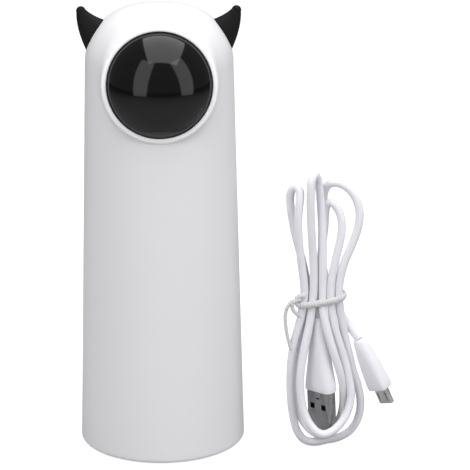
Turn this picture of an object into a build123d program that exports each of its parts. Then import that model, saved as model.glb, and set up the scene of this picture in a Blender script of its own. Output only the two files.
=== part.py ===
"""Automatic cat laser toy: a tapering tower with a domed head, a smoked eye and a pan-and-tilt laser.

Millimetres, +Z up, the front faces -Y. The origin is the centre of the foot pad's underside.
"""

from build123d import *

import os
from math import acos, atan2, ceil, cos, pi, radians, sin, sqrt, tan

# ---- Overall tower -------------------------------------------------------------------------------
tower_height = 180.0        # floor to the crown
base_diameter = 67.0        # outer diameter at the floor
tower_taper = 1.58          # degrees that the side leans inwards
shoulder_radius = 23.0      # arc between the side and the crown
crown_radius = 68.0         # shallow arc over the top
housing_wall = 2.2
rim_round = 1.2             # rounded lower edge of the housing
foot_stand = 0.6            # how far the foot pad lifts the housing off the floor

# ---- Base ----------------------------------------------------------------------------------------
foot_pad_inset = 4.5         # of the pad's edge from the base's edge
foot_pad_thickness = 1.2
base_cover_thickness = 3.0
cover_gap = 0.12            # between the base cover's edge and the housing
screw_circle_inset = 7.2    # of the base screws from the base's edge
boss_web = 2.4              # thickness of the web between a screw boss and the wall
screw_angles = (30.0, 150.0, 270.0)
boss_radius = 3.4
boss_height = 13.0
boss_gap = 0.1              # between a screw boss and the cover or frame under it
screw_radius = 1.0
screw_head_radius = 2.0
screw_head_height = 1.2
screw_slot_width = 0.5
screw_slot_depth = 0.5
screw_gap = 0.06            # radial clearance round every plain shank
screw_end_gap = 0.5         # depth of every blind screw hole past the screw's end
base_screw_length = 9.0

# ---- Eye -----------------------------------------------------------------------------------------
eye_drop = 26.9             # of the centre of the bezel's front plane below the crown
eye_inset = 7.8             # of that centre behind the base's front edge
eye_tilt = 14.0             # degrees that the eye looks upwards
eye_opening_radius = 20.45  # inside of the bezel
bezel_width = 2.1
bezel_lip = 2.2             # thickness of the bezel's visible lip
bezel_skirt = 1.7           # spigot that holds the dome down
bezel_edge_round = 1.2
bezel_inner_round = 0.5
collar_wall = 1.4
brow_width = 8.0            # the head is cut flush with the bezel this far out from it
dome_gap = 0.2              # between the dome and the bezel
dome_radius = 22.5
dome_wall = 1.5
dome_step = 0.5             # the dome's round part starts this far behind the bezel's face
flange_width = 0.7
flange_thickness = 1.3
collar_floor = 2.0          # ledge behind the dome's flange
seat_gap = 0.1

# ---- Horns ---------------------------------------------------------------------------------------
horn_root_inset = 11.0      # the spine's start, inside the head, from the base's side edge
horn_root_drop = 13.7       # and below the crown
horn_bend_inset = 4.7       # the spine's control point
horn_bend_drop = 10.1
horn_tip_inset = 3.2        # the spine's end
horn_tip_drop = 1.2
horn_root_width = 16.4
horn_root_depth = 12.0
horn_tip_radius = 2.05
horn_end_radius = 1.9       # of the last section, just inside the round tip
horn_taper = 0.75           # power of the width's fall along the spine
horn_stations = (0.0, 0.25, 0.5, 0.7, 0.86)
horn_peg_radius = 2.0
horn_peg_length = 7.5
horn_peg_gap = 0.08
horn_peg_end_gap = 0.5

# ---- Inner frame ---------------------------------------------------------------------------------
frame_floor_thickness = 2.5
frame_floor_inset = 11.5    # of the floor's edge from the base's edge
spine_front = 12.0
spine_thickness = 3.0
spine_width = 38.0
deck_thickness = 3.0
deck_inset = 11.5
frame_screw_spots = ((-15.0, -9.0), (15.0, -9.0), (0.0, 18.0))
frame_screw_length = 4.6
frame_boss_rise = 2.0       # of the screw bosses over the frame's floor
frame_boss_gap = 0.3        # between the frame and the housing's screw bosses
rib_thickness = 2.0
rib_depth = 14.0

# ---- Cell ----------------------------------------------------------------------------------------
cell_radius = 9.1
cell_length = 50.0
cell_button_radius = 3.0
cell_button_height = 1.2
cell_rim_round = 0.6
cell_floor = 12.0           # height of the cell's lower end
holder_wall = 1.6
holder_cheek_reach = 2.0    # how far the cheeks reach past the cell's axis
cell_gap = 0.3
contact_thickness = 0.6
contact_width = 8.0

# ---- Control board, button, socket and lamp ------------------------------------------------------
board_depth = 8.8           # of the board's far side behind the control panel's inside
board_thickness = 1.6
board_width = 30.0
board_bottom = 9.0
board_height = 52.0
board_post_radius = 2.6
board_post_inset = 3.2
board_screw_length = 5.0
panel_inset = 2.5           # of the flat control panel from the base's back edge
panel_thickness = 2.4
panel_width = 24.0
panel_bottom = 7.5
panel_top = 48.0
socket_height = 16.0
socket_width = 7.6
socket_thickness = 3.0
socket_wall = 0.35
socket_inset = 0.6          # of the socket's mouth from the control panel's outside
socket_gap = 0.4
socket_depth = 6.4
tongue_width = 3.7
tongue_thickness = 0.7
tongue_mouth_gap = 0.8
button_height = 30.0
button_radius = 4.5
button_proud = 0.9
button_gap = 0.2
button_flange_radius = 5.8
button_flange_thickness = 1.0
button_free_play = 0.3
button_travel = 0.6
button_stem_radius = 2.0
button_edge_round = 0.4
switch_side = 6.0
switch_depth = 3.5
plunger_radius = 1.7
plunger_reach = 4.9         # from the board to the plunger's tip
plunger_sunk = 1.0          # how much of the plunger is inside the switch
plunger_gap = 0.3
lamp_height = 42.0
lamp_radius = 1.5
lamp_flange_radius = 2.4
lamp_flange_thickness = 1.0
lamp_proud = 0.2
led_width = 3.0
led_length = 2.0
led_thickness = 1.1
chip_size = 7.0
chip_thickness = 1.4
small_chip_size = 3.6
small_chip_spots = ((-9.0, 40.0), (9.0, 40.0), (-9.0, 22.0))

# ---- Pan unit ------------------------------------------------------------------------------------
gear_module = 0.8
tooth_root_flare = 0.12     # widens each tooth's foot, as a share of half the tooth pitch
pressure_angle = 20.0
gear_backlash = 0.2
gear_addendum = 0.5         # shortened so that the small pinions are not undercut
pinion_addendum = 0.8
tooth_root_gap = 0.25
pan_centre = -6.0           # Y of the pan axis and of the tilt axis
pan_teeth = 30
pinion_teeth = 10
pan_gear_thickness = 3.0
pinion_overlap = 0.5        # how much a pinion stands past its gear, each side
pan_hub_radius = 2.5
bush_radius = 4.0
bush_gap = 0.05             # running fit of the hub in the bush
bush_flange_radius = 5.5
bush_flange_thickness = 0.8
bush_boss_radius = 6.0
bush_boss_depth = 3.5
pan_lift = 0.3              # axial play above and below the pan bearing
pan_seat_radius = 9.0       # raised seat on the pan gear, under the yoke
pan_seat_gap = 0.4          # between the pan pinion's top and the yoke above it
washer_radius = 4.0
washer_thickness = 0.8
pan_screw_length = 6.0
pan_motor_angle = 30.0      # direction of the pan pinion from the pan gear, from +X
motor_shaft_radius = 1.5
gearbox_width = 12.0
gearbox_depth = 10.0
gearbox_length = 9.0
gearbox_floor = 2.0         # closed end towards the motor
motor_can_radius = 5.0
motor_can_length = 15.0
motor_boss_radius = 1.8     # bearing boss on the motor's tail
motor_boss_length = 1.0
motor_flat_inset = 1.0      # of the can's flats from the gearbox's sides
motor_screw_spread = 4.5
motor_screw_radius = 0.8
motor_screw_grip = 2.0      # how deep a motor screw goes into the gearbox
motor_head_radius = 1.3
motor_head_height = 0.8
motor_head_recess = 0.6
shaft_gap = 0.4             # round a motor shaft where it passes a plate
shaft_end_gap = 0.3

# ---- Tilt unit -----------------------------------------------------------------------------------
tilt_drop = 4.4             # of the tilt axis below the eye's centre
yoke_floor_thickness = 2.0
yoke_inside = 9.5           # half the space between the yoke's arms
yoke_arm_thickness = 2.5
yoke_arm_width = 10.0
yoke_arm_top = 4.0          # above the tilt axis
yoke_overhang = 1.5
yoke_floor_margin = 2.0     # how far the floor reaches past the arms, front and back
yoke_screw_spread = 5.2
yoke_screw_length = 4.0
cradle_half_width = 8.0
cradle_length = 13.0
cradle_height = 10.0
cradle_edge_round = 1.5
cradle_side_gap = 0.3
cradle_boss_radius = 3.0
tilt_pin_radius = 1.25
tilt_pin_head_radius = 2.2
tilt_pin_head_thickness = 0.8
pivot_gap = 0.05
pivot_depth = 3.0           # how deep each pivot sits in the cradle
tilt_down_limit = 25.0      # degrees that the laser turns down from level
tilt_up_limit = 10.0
sector_teeth = 25
sector_spare_teeth = 2      # kept past the mesh at each end of the tilt
sector_thickness = 2.5
sector_hub_radius = 3.4
sector_shaft_radius = 1.5
tilt_motor_radius = 4.0
tilt_motor_length = 14.0
tilt_motor_shaft_radius = 0.75
tilt_motor_shaft_bore = 2.0 # how deep the shaft's clearance runs into the motor
tilt_motor_boss_radius = 1.2
tilt_motor_boss_length = 0.8
saddle_wall = 1.6
saddle_length = 6.0
saddle_arm_gap = 1.0        # between the yoke's arm and the saddle
saddle_floor = 3.0          # between the motor and the yoke's floor
saddle_drop = 1.0           # of the saddle's top under the motor's axis
saddle_ear_height = 2.4
strap_thickness = 0.7
strap_ear = 3.2
strap_ear_thickness = 1.0
strap_screw_grip = 1.8
barrel_radius = 3.25
barrel_length = 17.0
barrel_front = 10.5         # how far the barrel stands in front of the tilt axis
barrel_gap = 0.05
barrel_mouth_radius = 2.2
barrel_mouth_depth = 1.6
barrel_bore_radius = 1.5    # behind the lens
barrel_bore_depth = 4.0
lens_radius = 2.1
lens_thickness = 1.0
driver_width = 5.0
driver_length = 7.0
driver_thickness = 1.0

# ---- Leads inside the tower ----------------------------------------------------------------------
lead_radius = 0.3
lead_gap = 0.1              # between the two leads of a pair
lead_bend = 2.4             # how far a cell lead cuts its corner into the hole
lead_hole_radius = 2.6
cell_lead_x = 8.2
lower_lead_height = 20.0
upper_lead_height = 50.0
lead_first_run = 1.2        # straight out of a cell contact
motor_lead_x = 13.8
motor_lead_rise = 9.0       # of the motor leads' hole over the control board
motor_lead_offset = 3.0     # of the motor's leads from its axis
motor_lead_drop = 3.0
board_lead_rise = 3.5       # of the leads' bend over the board's top edge

# ---- Charging cable ------------------------------------------------------------------------------
cord_diameter = 3.3
bend_share = 0.45           # how much of the shorter run each bend of a cord or lead takes
hank_plane = -17.8          # Y of the hank's middle plane
hank_depth = 10.0
neck_depth = 7.0
neck_left = 55.3
neck_right = 72.0
neck_bottom = 60.0
neck_top = 68.0
upper_loop = ((55.3, 68.0), (47.6, 104.0), (51.8, 111.8), (55.9, 110.2), (59.8, 117.6), (64.0, 111.4),
              (70.3, 112.8), (79.8, 98.8), (78.1, 87.0), (75.0, 77.4), (72.0, 68.0))
lower_loop = ((55.3, 60.0), (51.8, 50.6), (49.2, 28.0), (50.1, 16.0), (53.0, 6.0), (59.4, 0.0),
              (71.9, 0.0), (79.2, 8.6), (81.6, 21.1), (78.1, 39.5), (72.0, 60.0))
lower_gap = ((58.8, 57.8), (58.3, 51.0), (56.8, 30.0), (57.0, 16.0), (57.6, 6.6), (70.4, 6.6),
             (71.1, 16.0), (71.1, 28.0), (69.6, 42.0), (68.6, 49.5), (67.4, 57.8))
plug_turn = -45.0           # the flat side of each plug is turned this far about its axis
usb_top = (62.2, 56.6)      # X and Z of the overmould's cord end
usb_seam = (63.8, 25.2)     # X and Z where the overmould meets the metal shell
usb_shell_length = 17.6
usb_shell_width = 12.0
usb_shell_thickness = 4.5
usb_shell_wall = 0.4
usb_body_margin = 0.4       # how far the overmould stands round the metal shell
usb_body_neck = 5.2
usb_body_corner = 1.6
neck_corner = 2.0           # of each overmould's cord end
usb_window = 2.2
usb_window_spread = 2.6
usb_window_drop = 7.4       # from the seam to the windows' middle
usb_tongue_thickness = 1.9
usb_tongue_short = 1.0
usb_tongue_side_gap = 0.1
micro_seam = (87.9, 25.8)   # X and Z where the micro-USB overmould meets its shell
micro_top = (78.7, 46.8)    # X and Z of the overmould's cord end
micro_body_width = 9.3
micro_body_thickness = 6.3
micro_body_corner = 2.2
micro_body_neck = 5.0
micro_shell_width = 6.85
micro_shell_thickness = 1.85
micro_shell_length = 7.0
micro_shell_wall = 0.3
micro_lead_start = (69.8, 63.0)
micro_lead_bend = (73.2, 57.2)
micro_lead_forward = 0.6    # how far the lead bulges towards the front at its bend
micro_lead_last_run = 5.5
lead_press = 3.0            # how far each free end of the cord runs into the hank's envelope
tie_thickness = 0.9
tie_width = 2.0
tie_gap = 0.1
tie_knot_size = 3.4
tie_tail_length = 17.0
tie_tail_width = 1.9

# ---- Sizes that follow from the ones above -------------------------------------------------------
base_radius = base_diameter / 2
taper_slope = tan(radians(tower_taper))
cover_bottom = foot_stand
cover_top = cover_bottom + base_cover_thickness
foot_pad_radius = base_radius - foot_pad_inset
screw_circle_radius = base_radius - screw_circle_inset
eye_height = tower_height - eye_drop
eye_forward = base_radius - eye_inset
frame_floor_radius = base_radius - frame_floor_inset
deck_radius = base_radius - deck_inset
tilt_height = eye_height - tilt_drop
spine_back = spine_front + spine_thickness
panel_face = base_radius - panel_inset
panel_inside = panel_face - panel_thickness
board_back = panel_inside - board_depth
board_face = board_back + board_thickness
board_top = board_bottom + board_height
motor_hole_height = board_top + motor_lead_rise
socket_reach = panel_face - socket_inset
socket_floor = socket_reach - socket_depth
horn_root = (base_radius - horn_root_inset, tower_height - horn_root_drop)
horn_bend = (base_radius - horn_bend_inset, tower_height - horn_bend_drop)
horn_tip = (base_radius - horn_tip_inset, tower_height - horn_tip_drop)
eye_lift = radians(eye_tilt)
eye_plane = Plane(
    origin=(0, -eye_forward, eye_height),
    x_dir=(1, 0, 0),
    z_dir=(0, -cos(eye_lift), sin(eye_lift)),
)
bezel_radius = eye_opening_radius + bezel_width
collar_radius = bezel_radius
collar_bore = collar_radius - collar_wall
flange_back = -(bezel_lip + bezel_skirt + flange_thickness)
dome_rim_radius = eye_opening_radius - dome_gap
pinion_pitch = gear_module * pinion_teeth / 2
pan_pitch = gear_module * pan_teeth / 2
sector_pitch = gear_module * sector_teeth / 2
pan_pinion_x = (pan_pitch + pinion_pitch) * cos(radians(pan_motor_angle))
pan_pinion_y = pan_centre + (pan_pitch + pinion_pitch) * sin(radians(pan_motor_angle))
tilt_motor_height = tilt_height - sector_pitch - pinion_pitch
yoke_floor_top = tilt_motor_height - tilt_motor_radius - saddle_floor
yoke_seat = yoke_floor_top - yoke_floor_thickness
pan_gear_top = yoke_seat - pinion_overlap - pan_seat_gap
pan_gear_bottom = pan_gear_top - pan_gear_thickness
bush_flange_top = pan_gear_bottom - pan_lift
deck_top = bush_flange_top - bush_flange_thickness
deck_height = deck_top - deck_thickness
boss_bottom = deck_height - bush_boss_depth
hub_bottom = boss_bottom - pan_lift
arm_outside = yoke_inside + yoke_arm_thickness
widest_tilt = max(tilt_down_limit, tilt_up_limit)
sector_teeth_kept = 2 * (ceil(widest_tilt * sector_teeth / 360) + sector_spare_teeth)
sector_inner = arm_outside + cradle_side_gap
sector_outer = sector_inner + sector_thickness


# ---- Plain shapes --------------------------------------------------------------------------------
def disc(radius, start, end):
    """A cylinder on the local Z axis between two stations."""
    return Pos(0, 0, start) * Cylinder(radius, end - start, align=(Align.CENTER, Align.CENTER, Align.MIN))


def ring(outer, inner, start, end):
    return disc(outer, start, end) - disc(inner, start - 1, end + 1)


def block(x_span, y_span, z_span):
    """A box between two corners, each span a (low, high) pair."""
    sizes = [high - low for low, high in (x_span, y_span, z_span)]
    middle = [(low + high) / 2 for low, high in (x_span, y_span, z_span)]
    return Pos(*middle) * Box(*sizes)


def upright(x, y):
    """Places local Z along world Z at a point of the plan."""
    return Pos(x, y, 0)


def rearward(x, z):
    """A plane whose local Z is world +Y, so stations along it are Y values."""
    return Plane(origin=(x, 0, z), x_dir=(1, 0, 0), z_dir=(0, 1, 0))


def sideways(y, z):
    """A plane whose local Z is world +X, so stations along it are X values."""
    return Plane(origin=(0, y, z), x_dir=(0, 1, 0), z_dir=(1, 0, 0))


def tower_body(inset, bottom):
    """The tower's solid of revolution, moved inwards by inset, from bottom to the crown."""
    shoulder = shoulder_radius - inset
    crown = crown_radius - inset
    top = tower_height - inset
    lean = radians(tower_taper)
    # The shoulder's centre keeps its distance from the side, and touches the crown's arc.
    centre_start = base_radius - inset / cos(lean) - shoulder / cos(lean)
    crown_centre = top - crown
    reach = crown - shoulder
    a = 1 + taper_slope**2
    b = -2 * (centre_start * taper_slope + crown_centre)
    c = centre_start**2 + crown_centre**2 - reach**2
    centre_z = (-b + sqrt(b**2 - 4 * a * c)) / (2 * a)
    centre_r = centre_start - taper_slope * centre_z
    side_end = (centre_r + shoulder * cos(lean), centre_z + shoulder * sin(lean))
    touch = atan2(centre_z - crown_centre, centre_r)
    crown_start = (crown * cos(touch), crown_centre + crown * sin(touch))
    middle = (lean + touch) / 2
    shoulder_mid = (centre_r + shoulder * cos(middle), centre_z + shoulder * sin(middle))
    crown_middle = (touch + pi / 2) / 2
    crown_mid = (crown * cos(crown_middle), crown_centre + crown * sin(crown_middle))
    side_start = (base_radius - inset / cos(lean) - taper_slope * bottom, bottom)
    outline = Polyline((0, top), (0, bottom), side_start, side_end)
    outline += ThreePointArc(side_end, shoulder_mid, crown_start)
    outline += ThreePointArc(crown_start, crown_mid, (0, top))
    return revolve(make_face(Plane.XZ * outline), Axis.Z)


def tooth_points(teeth, addendum, root, index):
    """One tooth of an involute gear about +X turned by its index, from root to root."""
    pitch = gear_module * teeth / 2
    angle = radians(pressure_angle)
    base = pitch * cos(angle)
    half = (pi * gear_module / 2 - gear_backlash) / (2 * pitch) + tan(angle) - angle
    tip = pitch + addendum
    low = max(root, base)
    flank = [low, (low + pitch) / 2, pitch, (pitch + tip) / 2, tip]
    rising = [(root, half + pi / teeth * tooth_root_flare)]
    for radius in flank:
        roll = acos(min(1.0, base / radius))
        rising.append((radius, half - (tan(roll) - roll)))
    falling = [(radius, -turn) for radius, turn in reversed(rising)]
    centre = 2 * pi * index / teeth
    around = [(radius, centre - turn) for radius, turn in rising + falling]
    return [(radius * cos(turn), radius * sin(turn)) for radius, turn in around]


def gear_face(teeth, addendum, root, first=0, kept=None):
    """A gear's outline. With kept, only that many teeth and the wedge to the centre behind them."""
    count = teeth if kept is None else kept
    points = []
    for index in range(first, first + count):
        points += tooth_points(teeth, addendum, root, index)
    if kept is not None:
        points.append((0, 0))
    return make_face(Polyline(*points, close=True))


def screw(length, radius=screw_radius, head=screw_head_radius, head_height=screw_head_height):
    """A pan-head screw: the head above Z 0 and the shank below it."""
    body = disc(radius, -length, 0) + disc(head, 0, head_height)
    slot_half = screw_slot_width / 2
    slot = block((-head, head), (-slot_half, slot_half), (head_height - screw_slot_depth, head_height + 1))
    return body - slot


def chain(points):
    """A round-cornered path, whose every arc is as large as the runs beside it allow."""
    vectors = [Vector(*point) for point in points]
    radii = []
    for before, corner, after in zip(vectors, vectors[1:], vectors[2:]):
        shorter = min((corner - before).length, (after - corner).length)
        turn = (corner - before).get_angle(after - corner)
        radii.append(bend_share * shorter / tan(radians(turn) / 2))
    return FilletPolyline(*points, radius=radii), radii


def tube(points, radius):
    path, radii = chain(points)
    section = Plane(origin=path @ 0, z_dir=path % 0) * Circle(radius)
    return sweep(section, path=path), path, radii


def save(name, *solids):
    """Writes one node, whose solids stay separate."""
    pieces = [solid for shape in solids for solid in shape.solids()]
    export_step(Compound(children=pieces) if len(pieces) > 1 else pieces[0], f"parts/{name}.step")


# ---- Housing and base ----------------------------------------------------------------------------
def base_screw_places():
    for angle in screw_angles:
        yield screw_circle_radius * cos(radians(angle)), screw_circle_radius * sin(radians(angle))


def horn_peg_plane(side):
    """The peg's axis runs from the horn's root into the head, square to the spine there."""
    run_x = horn_bend[0] - horn_root[0]
    run_z = horn_bend[1] - horn_root[1]
    return Plane(
        origin=(side * horn_root[0], 0, horn_root[1]),
        x_dir=(0, 1, 0),
        z_dir=(side * run_x, 0, run_z),
    )


def eye_collar(outer_end):
    """The tube that carries the bezel and the dome, open towards the front."""
    ledge_back = flange_back - seat_gap - collar_floor
    body = disc(collar_radius, ledge_back, outer_end)
    body = body - disc(collar_bore, flange_back - seat_gap, outer_end + 1)
    return eye_plane * (body - disc(dome_rim_radius - dome_wall / 2, ledge_back - 1, outer_end + 1))


def panel_span():
    return (-panel_width / 2, panel_width / 2)


def panel_holes():
    """The flat on the back of the housing and the holes for the button, the light and the socket."""
    through = (panel_inside - 1, panel_face + 1)
    half_w = socket_width / 2 + socket_gap
    half_t = socket_thickness / 2 + socket_gap
    return [
        block(panel_span(), (panel_face, base_radius + 1), (panel_bottom, panel_top)),
        rearward(0, button_height) * disc(button_radius + button_gap, *through),
        rearward(0, lamp_height) * disc(lamp_radius + screw_gap, *through),
        block((-half_w, half_w), through, (socket_height - half_t, socket_height + half_t)),
    ]


def screw_boss(angle):
    """A pillar for a base screw, with a web out to the wall."""
    low, high = cover_top + boss_gap, cover_top + boss_gap + boss_height
    web = block((screw_circle_radius, base_radius), (-boss_web / 2, boss_web / 2), (low, high))
    pillar = upright(screw_circle_radius, 0) * disc(boss_radius, low, high)
    screw_end = foot_pad_thickness + screw_head_height + base_screw_length
    hole = disc(screw_radius + screw_gap, low - 1, screw_end + screw_end_gap)
    return Rot(0, 0, angle) * (pillar + web), Rot(0, 0, angle) * upright(screw_circle_radius, 0) * hole


def main_housing(outer, inner):
    rim = outer.edges().filter_by(GeomType.CIRCLE).sort_by(Axis.Z)[0]
    hollow = inner - block(panel_span(), (panel_inside, base_radius), (panel_bottom, panel_top))
    eye_path = eye_plane * disc(collar_radius, flange_back - seat_gap - collar_floor, collar_radius)
    brow = eye_plane * disc(collar_radius + brow_width, 0, collar_radius)
    shell = fillet(rim, rim_round) - hollow - eye_path - brow
    shell = shell + (eye_collar(-bezel_lip) - (eye_plane * disc(collar_radius, -bezel_lip, collar_radius)))
    for angle in screw_angles:
        boss, hole = screw_boss(angle)
        shell = shell + (boss & outer) - hole
    for cut in panel_holes():
        shell = shell - cut
    for side in (-1, 1):
        peg_hole = disc(horn_peg_radius + horn_peg_gap, -horn_peg_length, horn_root_width)
        shell = shell - horn_peg_plane(side) * peg_hole
    return shell


def base_cover():
    edge = base_radius - housing_wall / cos(radians(tower_taper)) - taper_slope * cover_top - cover_gap
    cover = disc(edge, cover_bottom, cover_top)
    cover = cover - disc(foot_pad_radius + seat_gap, 0, foot_pad_thickness)
    head_top = foot_pad_thickness + screw_head_height
    for x, y in list(base_screw_places()) + list(frame_screw_spots):
        cover = cover - upright(x, y) * disc(screw_radius + screw_gap, 0, cover_top + 1)
        cover = cover - upright(x, y) * disc(screw_head_radius + seat_gap, 0, head_top)
    return cover


def cover_screws(spots, length):
    head_top = foot_pad_thickness + screw_head_height
    return [Pos(x, y, head_top) * Rot(180, 0, 0) * screw(length) for x, y in spots]


# ---- Eye -----------------------------------------------------------------------------------------
def eye_bezel():
    lip = ring(bezel_radius, eye_opening_radius, -bezel_lip, 0)
    front = lip.edges().filter_by(GeomType.CIRCLE).group_by(Axis.Z)[-1].sort_by(SortBy.RADIUS)
    lip = fillet(front[-1], bezel_edge_round)
    front = lip.edges().filter_by(GeomType.CIRCLE).group_by(Axis.Z)[-1].sort_by(SortBy.RADIUS)
    lip = fillet(front[0], bezel_inner_round)
    skirt = ring(collar_bore - seat_gap, eye_opening_radius, -bezel_lip - bezel_skirt, -bezel_lip)
    return eye_plane * (lip + skirt)


def eye_dome():
    inner_radius = dome_radius - dome_wall
    inner_rim = dome_rim_radius - dome_wall
    outer_drop = sqrt(dome_radius**2 - dome_rim_radius**2)
    cap_centre = -dome_step - outer_drop
    outer = disc(dome_rim_radius, flange_back, -dome_step)
    cap = Pos(0, 0, cap_centre) * Sphere(dome_radius) & disc(dome_radius, -dome_step, dome_radius)
    hollow_cap = Pos(0, 0, cap_centre) * Sphere(inner_radius) & disc(inner_rim, flange_back - 1, dome_radius)
    flange = disc(dome_rim_radius + flange_width, flange_back, flange_back + flange_thickness)
    return eye_plane * (outer + cap + flange - hollow_cap)


# ---- Horns ---------------------------------------------------------------------------------------
def horn_station(t):
    """Centre and heading of the spine, a quadratic curve in the XZ plane."""
    keep, bend, end = (1 - t) ** 2, 2 * t * (1 - t), t**2
    x = keep * horn_root[0] + bend * horn_bend[0] + end * horn_tip[0]
    z = keep * horn_root[1] + bend * horn_bend[1] + end * horn_tip[1]
    run_x = (1 - t) * (horn_bend[0] - horn_root[0]) + t * (horn_tip[0] - horn_bend[0])
    run_z = (1 - t) * (horn_bend[1] - horn_root[1]) + t * (horn_tip[1] - horn_bend[1])
    return x, z, run_x, run_z


def horn(outer):
    """The right horn: a curved, tapering spike that sits on the head, with a round peg into it."""
    sections = []
    for t in horn_stations:
        x, z, run_x, run_z = horn_station(t)
        shrink = (1 - t) ** horn_taper
        half_width = max(horn_root_width / 2 * shrink, horn_end_radius)
        half_depth = max(horn_root_depth / 2 * shrink, horn_end_radius)
        plane = Plane(origin=(x, 0, z), x_dir=(0, 1, 0), z_dir=(run_x, 0, run_z))
        sections.append(plane * Ellipse(half_depth, half_width))
    x, z, _, _ = horn_station(horn_stations[-1])
    body = loft(sections) + Pos(x, 0, z) * Sphere(horn_tip_radius)
    body = body - outer
    peg = horn_peg_plane(1) * disc(horn_peg_radius, horn_peg_end_gap - horn_peg_length, horn_peg_length)
    return body + peg


# ---- Inner frame ---------------------------------------------------------------------------------
def inner_frame():
    """The floor, spine and deck in one moulding, with the posts and bosses that carry the rest."""
    half = spine_width / 2
    floor_top = cover_top + frame_floor_thickness
    body = disc(frame_floor_radius, cover_top, floor_top)
    body = body + block((-half, half), (spine_front, spine_back), (cover_top, deck_top))
    body = body + disc(deck_radius, deck_height, deck_top)
    body = body + upright(0, pan_centre) * disc(bush_boss_radius, boss_bottom, deck_top)
    for side in (-1, 1):
        x_span = sorted((side * half, side * (half - rib_thickness)))
        y_span = (spine_front - rib_depth, spine_front)
        body = body + block(x_span, y_span, (cover_top, floor_top + rib_depth))
    hole_end = board_face - board_screw_length - screw_end_gap
    for x, z in board_corner_places():
        post = rearward(x, z) * disc(board_post_radius, spine_back, board_back)
        body = body + post - rearward(x, z) * disc(screw_radius + screw_gap, hole_end, board_back + 1)
    hole_end = foot_pad_thickness + screw_head_height + frame_screw_length + screw_end_gap
    for x, y in frame_screw_spots:
        body = body + upright(x, y) * disc(boss_radius, cover_top, floor_top + frame_boss_rise)
        body = body - upright(x, y) * disc(screw_radius + screw_gap, cover_top - 1, hole_end)
    for x, y in base_screw_places():
        boss_room = disc(boss_radius + frame_boss_gap, cover_top - 1, cover_top + 2 * boss_height)
        body = body - upright(x, y) * boss_room
    for cut in deck_holes() + lead_holes():
        body = body - cut
    return body


def deck_holes():
    """Through the deck: the pan bush, the pan motor's shaft and its two sunk screws."""
    low, high = deck_height - 1, deck_top + 1
    shaft_hole = disc(motor_shaft_radius + shaft_gap, low, high)
    holes = [
        upright(0, pan_centre) * disc(bush_radius, boss_bottom - 1, high),
        upright(pan_pinion_x, pan_pinion_y) * shaft_hole,
    ]
    for x, y in pan_motor_screw_places():
        holes.append(upright(x, y) * disc(motor_screw_radius + screw_gap, low, high))
        holes.append(upright(x, y) * disc(motor_head_radius + seat_gap, deck_top - motor_head_recess, high))
    return holes


def board_corner_places():
    for x in (board_post_inset - board_width / 2, board_width / 2 - board_post_inset):
        for z in (board_bottom + board_post_inset, board_top - board_post_inset):
            yield x, z


def pan_motor_screw_places():
    for side in (-1, 1):
        yield pan_pinion_x, pan_pinion_y + side * motor_screw_spread


# ---- Cell ----------------------------------------------------------------------------------------
cell_y = spine_front - holder_wall - cell_gap - cell_radius
cell_top = cell_floor + cell_length
holder_bottom = cell_floor - contact_thickness - holder_wall
holder_top = cell_top + cell_button_height + contact_thickness + holder_wall


def cell():
    can = disc(cell_radius, cell_floor, cell_top)
    can = fillet(can.edges().filter_by(GeomType.CIRCLE), cell_rim_round)
    return upright(0, cell_y) * (can + disc(cell_button_radius, cell_top, cell_top + cell_button_height))


def cell_holder():
    """A tray: a back against the spine, two low side cheeks and two ends that hold the contacts."""
    half = cell_radius + cell_gap + holder_wall
    front = cell_y - holder_cheek_reach
    body = block((-half, half), (spine_front - holder_wall, spine_front), (holder_bottom, holder_top))
    for z_low in (holder_bottom, holder_top - holder_wall):
        body = body + block((-half, half), (cell_y - cell_radius, spine_front), (z_low, z_low + holder_wall))
    for side in (-1, 1):
        x_span = sorted((side * half, side * (half - holder_wall)))
        body = body + block(x_span, (front, spine_front), (holder_bottom, holder_top))
    for hole in lead_holes():
        body = body - hole
    return body


def cell_contacts():
    half = contact_width / 2
    y_span = (cell_y - half, cell_y + half)
    top = cell_top + cell_button_height
    lower = block((-half, half), y_span, (cell_floor - contact_thickness, cell_floor))
    upper = block((-half, half), y_span, (top, top + contact_thickness))
    return lower, upper


# ---- Control board -------------------------------------------------------------------------------
def control_board():
    half = board_width / 2
    board = block((-half, half), (board_back, board_face), (board_bottom, board_top))
    for x, z in board_corner_places():
        board = board - rearward(x, z) * disc(screw_radius + screw_gap, board_back - 1, board_face + 1)
    return board


def board_screws():
    turn = Rot(-90, 0, 0)
    return [Pos(x, board_face, z) * turn * screw(board_screw_length) for x, z in board_corner_places()]


def board_chips():
    main = block(
        (-chip_size / 2, chip_size / 2),
        (board_back - chip_thickness, board_back),
        (button_height - chip_size / 2, button_height + chip_size / 2),
    )
    half = small_chip_size / 2
    y_span = (board_face, board_face + chip_thickness)
    small = [block((x - half, x + half), y_span, (z - half, z + half)) for x, z in small_chip_spots]
    return [main] + small


def charging_socket():
    half_w, half_t = socket_width / 2, socket_thickness / 2
    z_span = (socket_height - half_t, socket_height + half_t)
    return block((-half_w, half_w), (board_face, socket_reach), z_span) - block(
        (socket_wall - half_w, half_w - socket_wall),
        (socket_floor, socket_reach + 1),
        (socket_height - half_t + socket_wall, socket_height + half_t - socket_wall),
    )


def socket_tongue():
    half_w, half_t = tongue_width / 2, tongue_thickness / 2
    return block(
        (-half_w, half_w),
        (socket_floor, socket_reach - tongue_mouth_gap),
        (socket_height - half_t, socket_height + half_t),
    )


def switch_body():
    half = switch_side / 2
    front = board_face + switch_depth
    body = block((-half, half), (board_face, front), (button_height - half, button_height + half))
    well = front - plunger_sunk - button_travel - plunger_gap
    return body - rearward(0, button_height) * disc(plunger_radius + plunger_gap, well, front + 1)


def switch_plunger():
    start = board_face + switch_depth - plunger_sunk
    return rearward(0, button_height) * disc(plunger_radius, start, board_face + plunger_reach)


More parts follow.
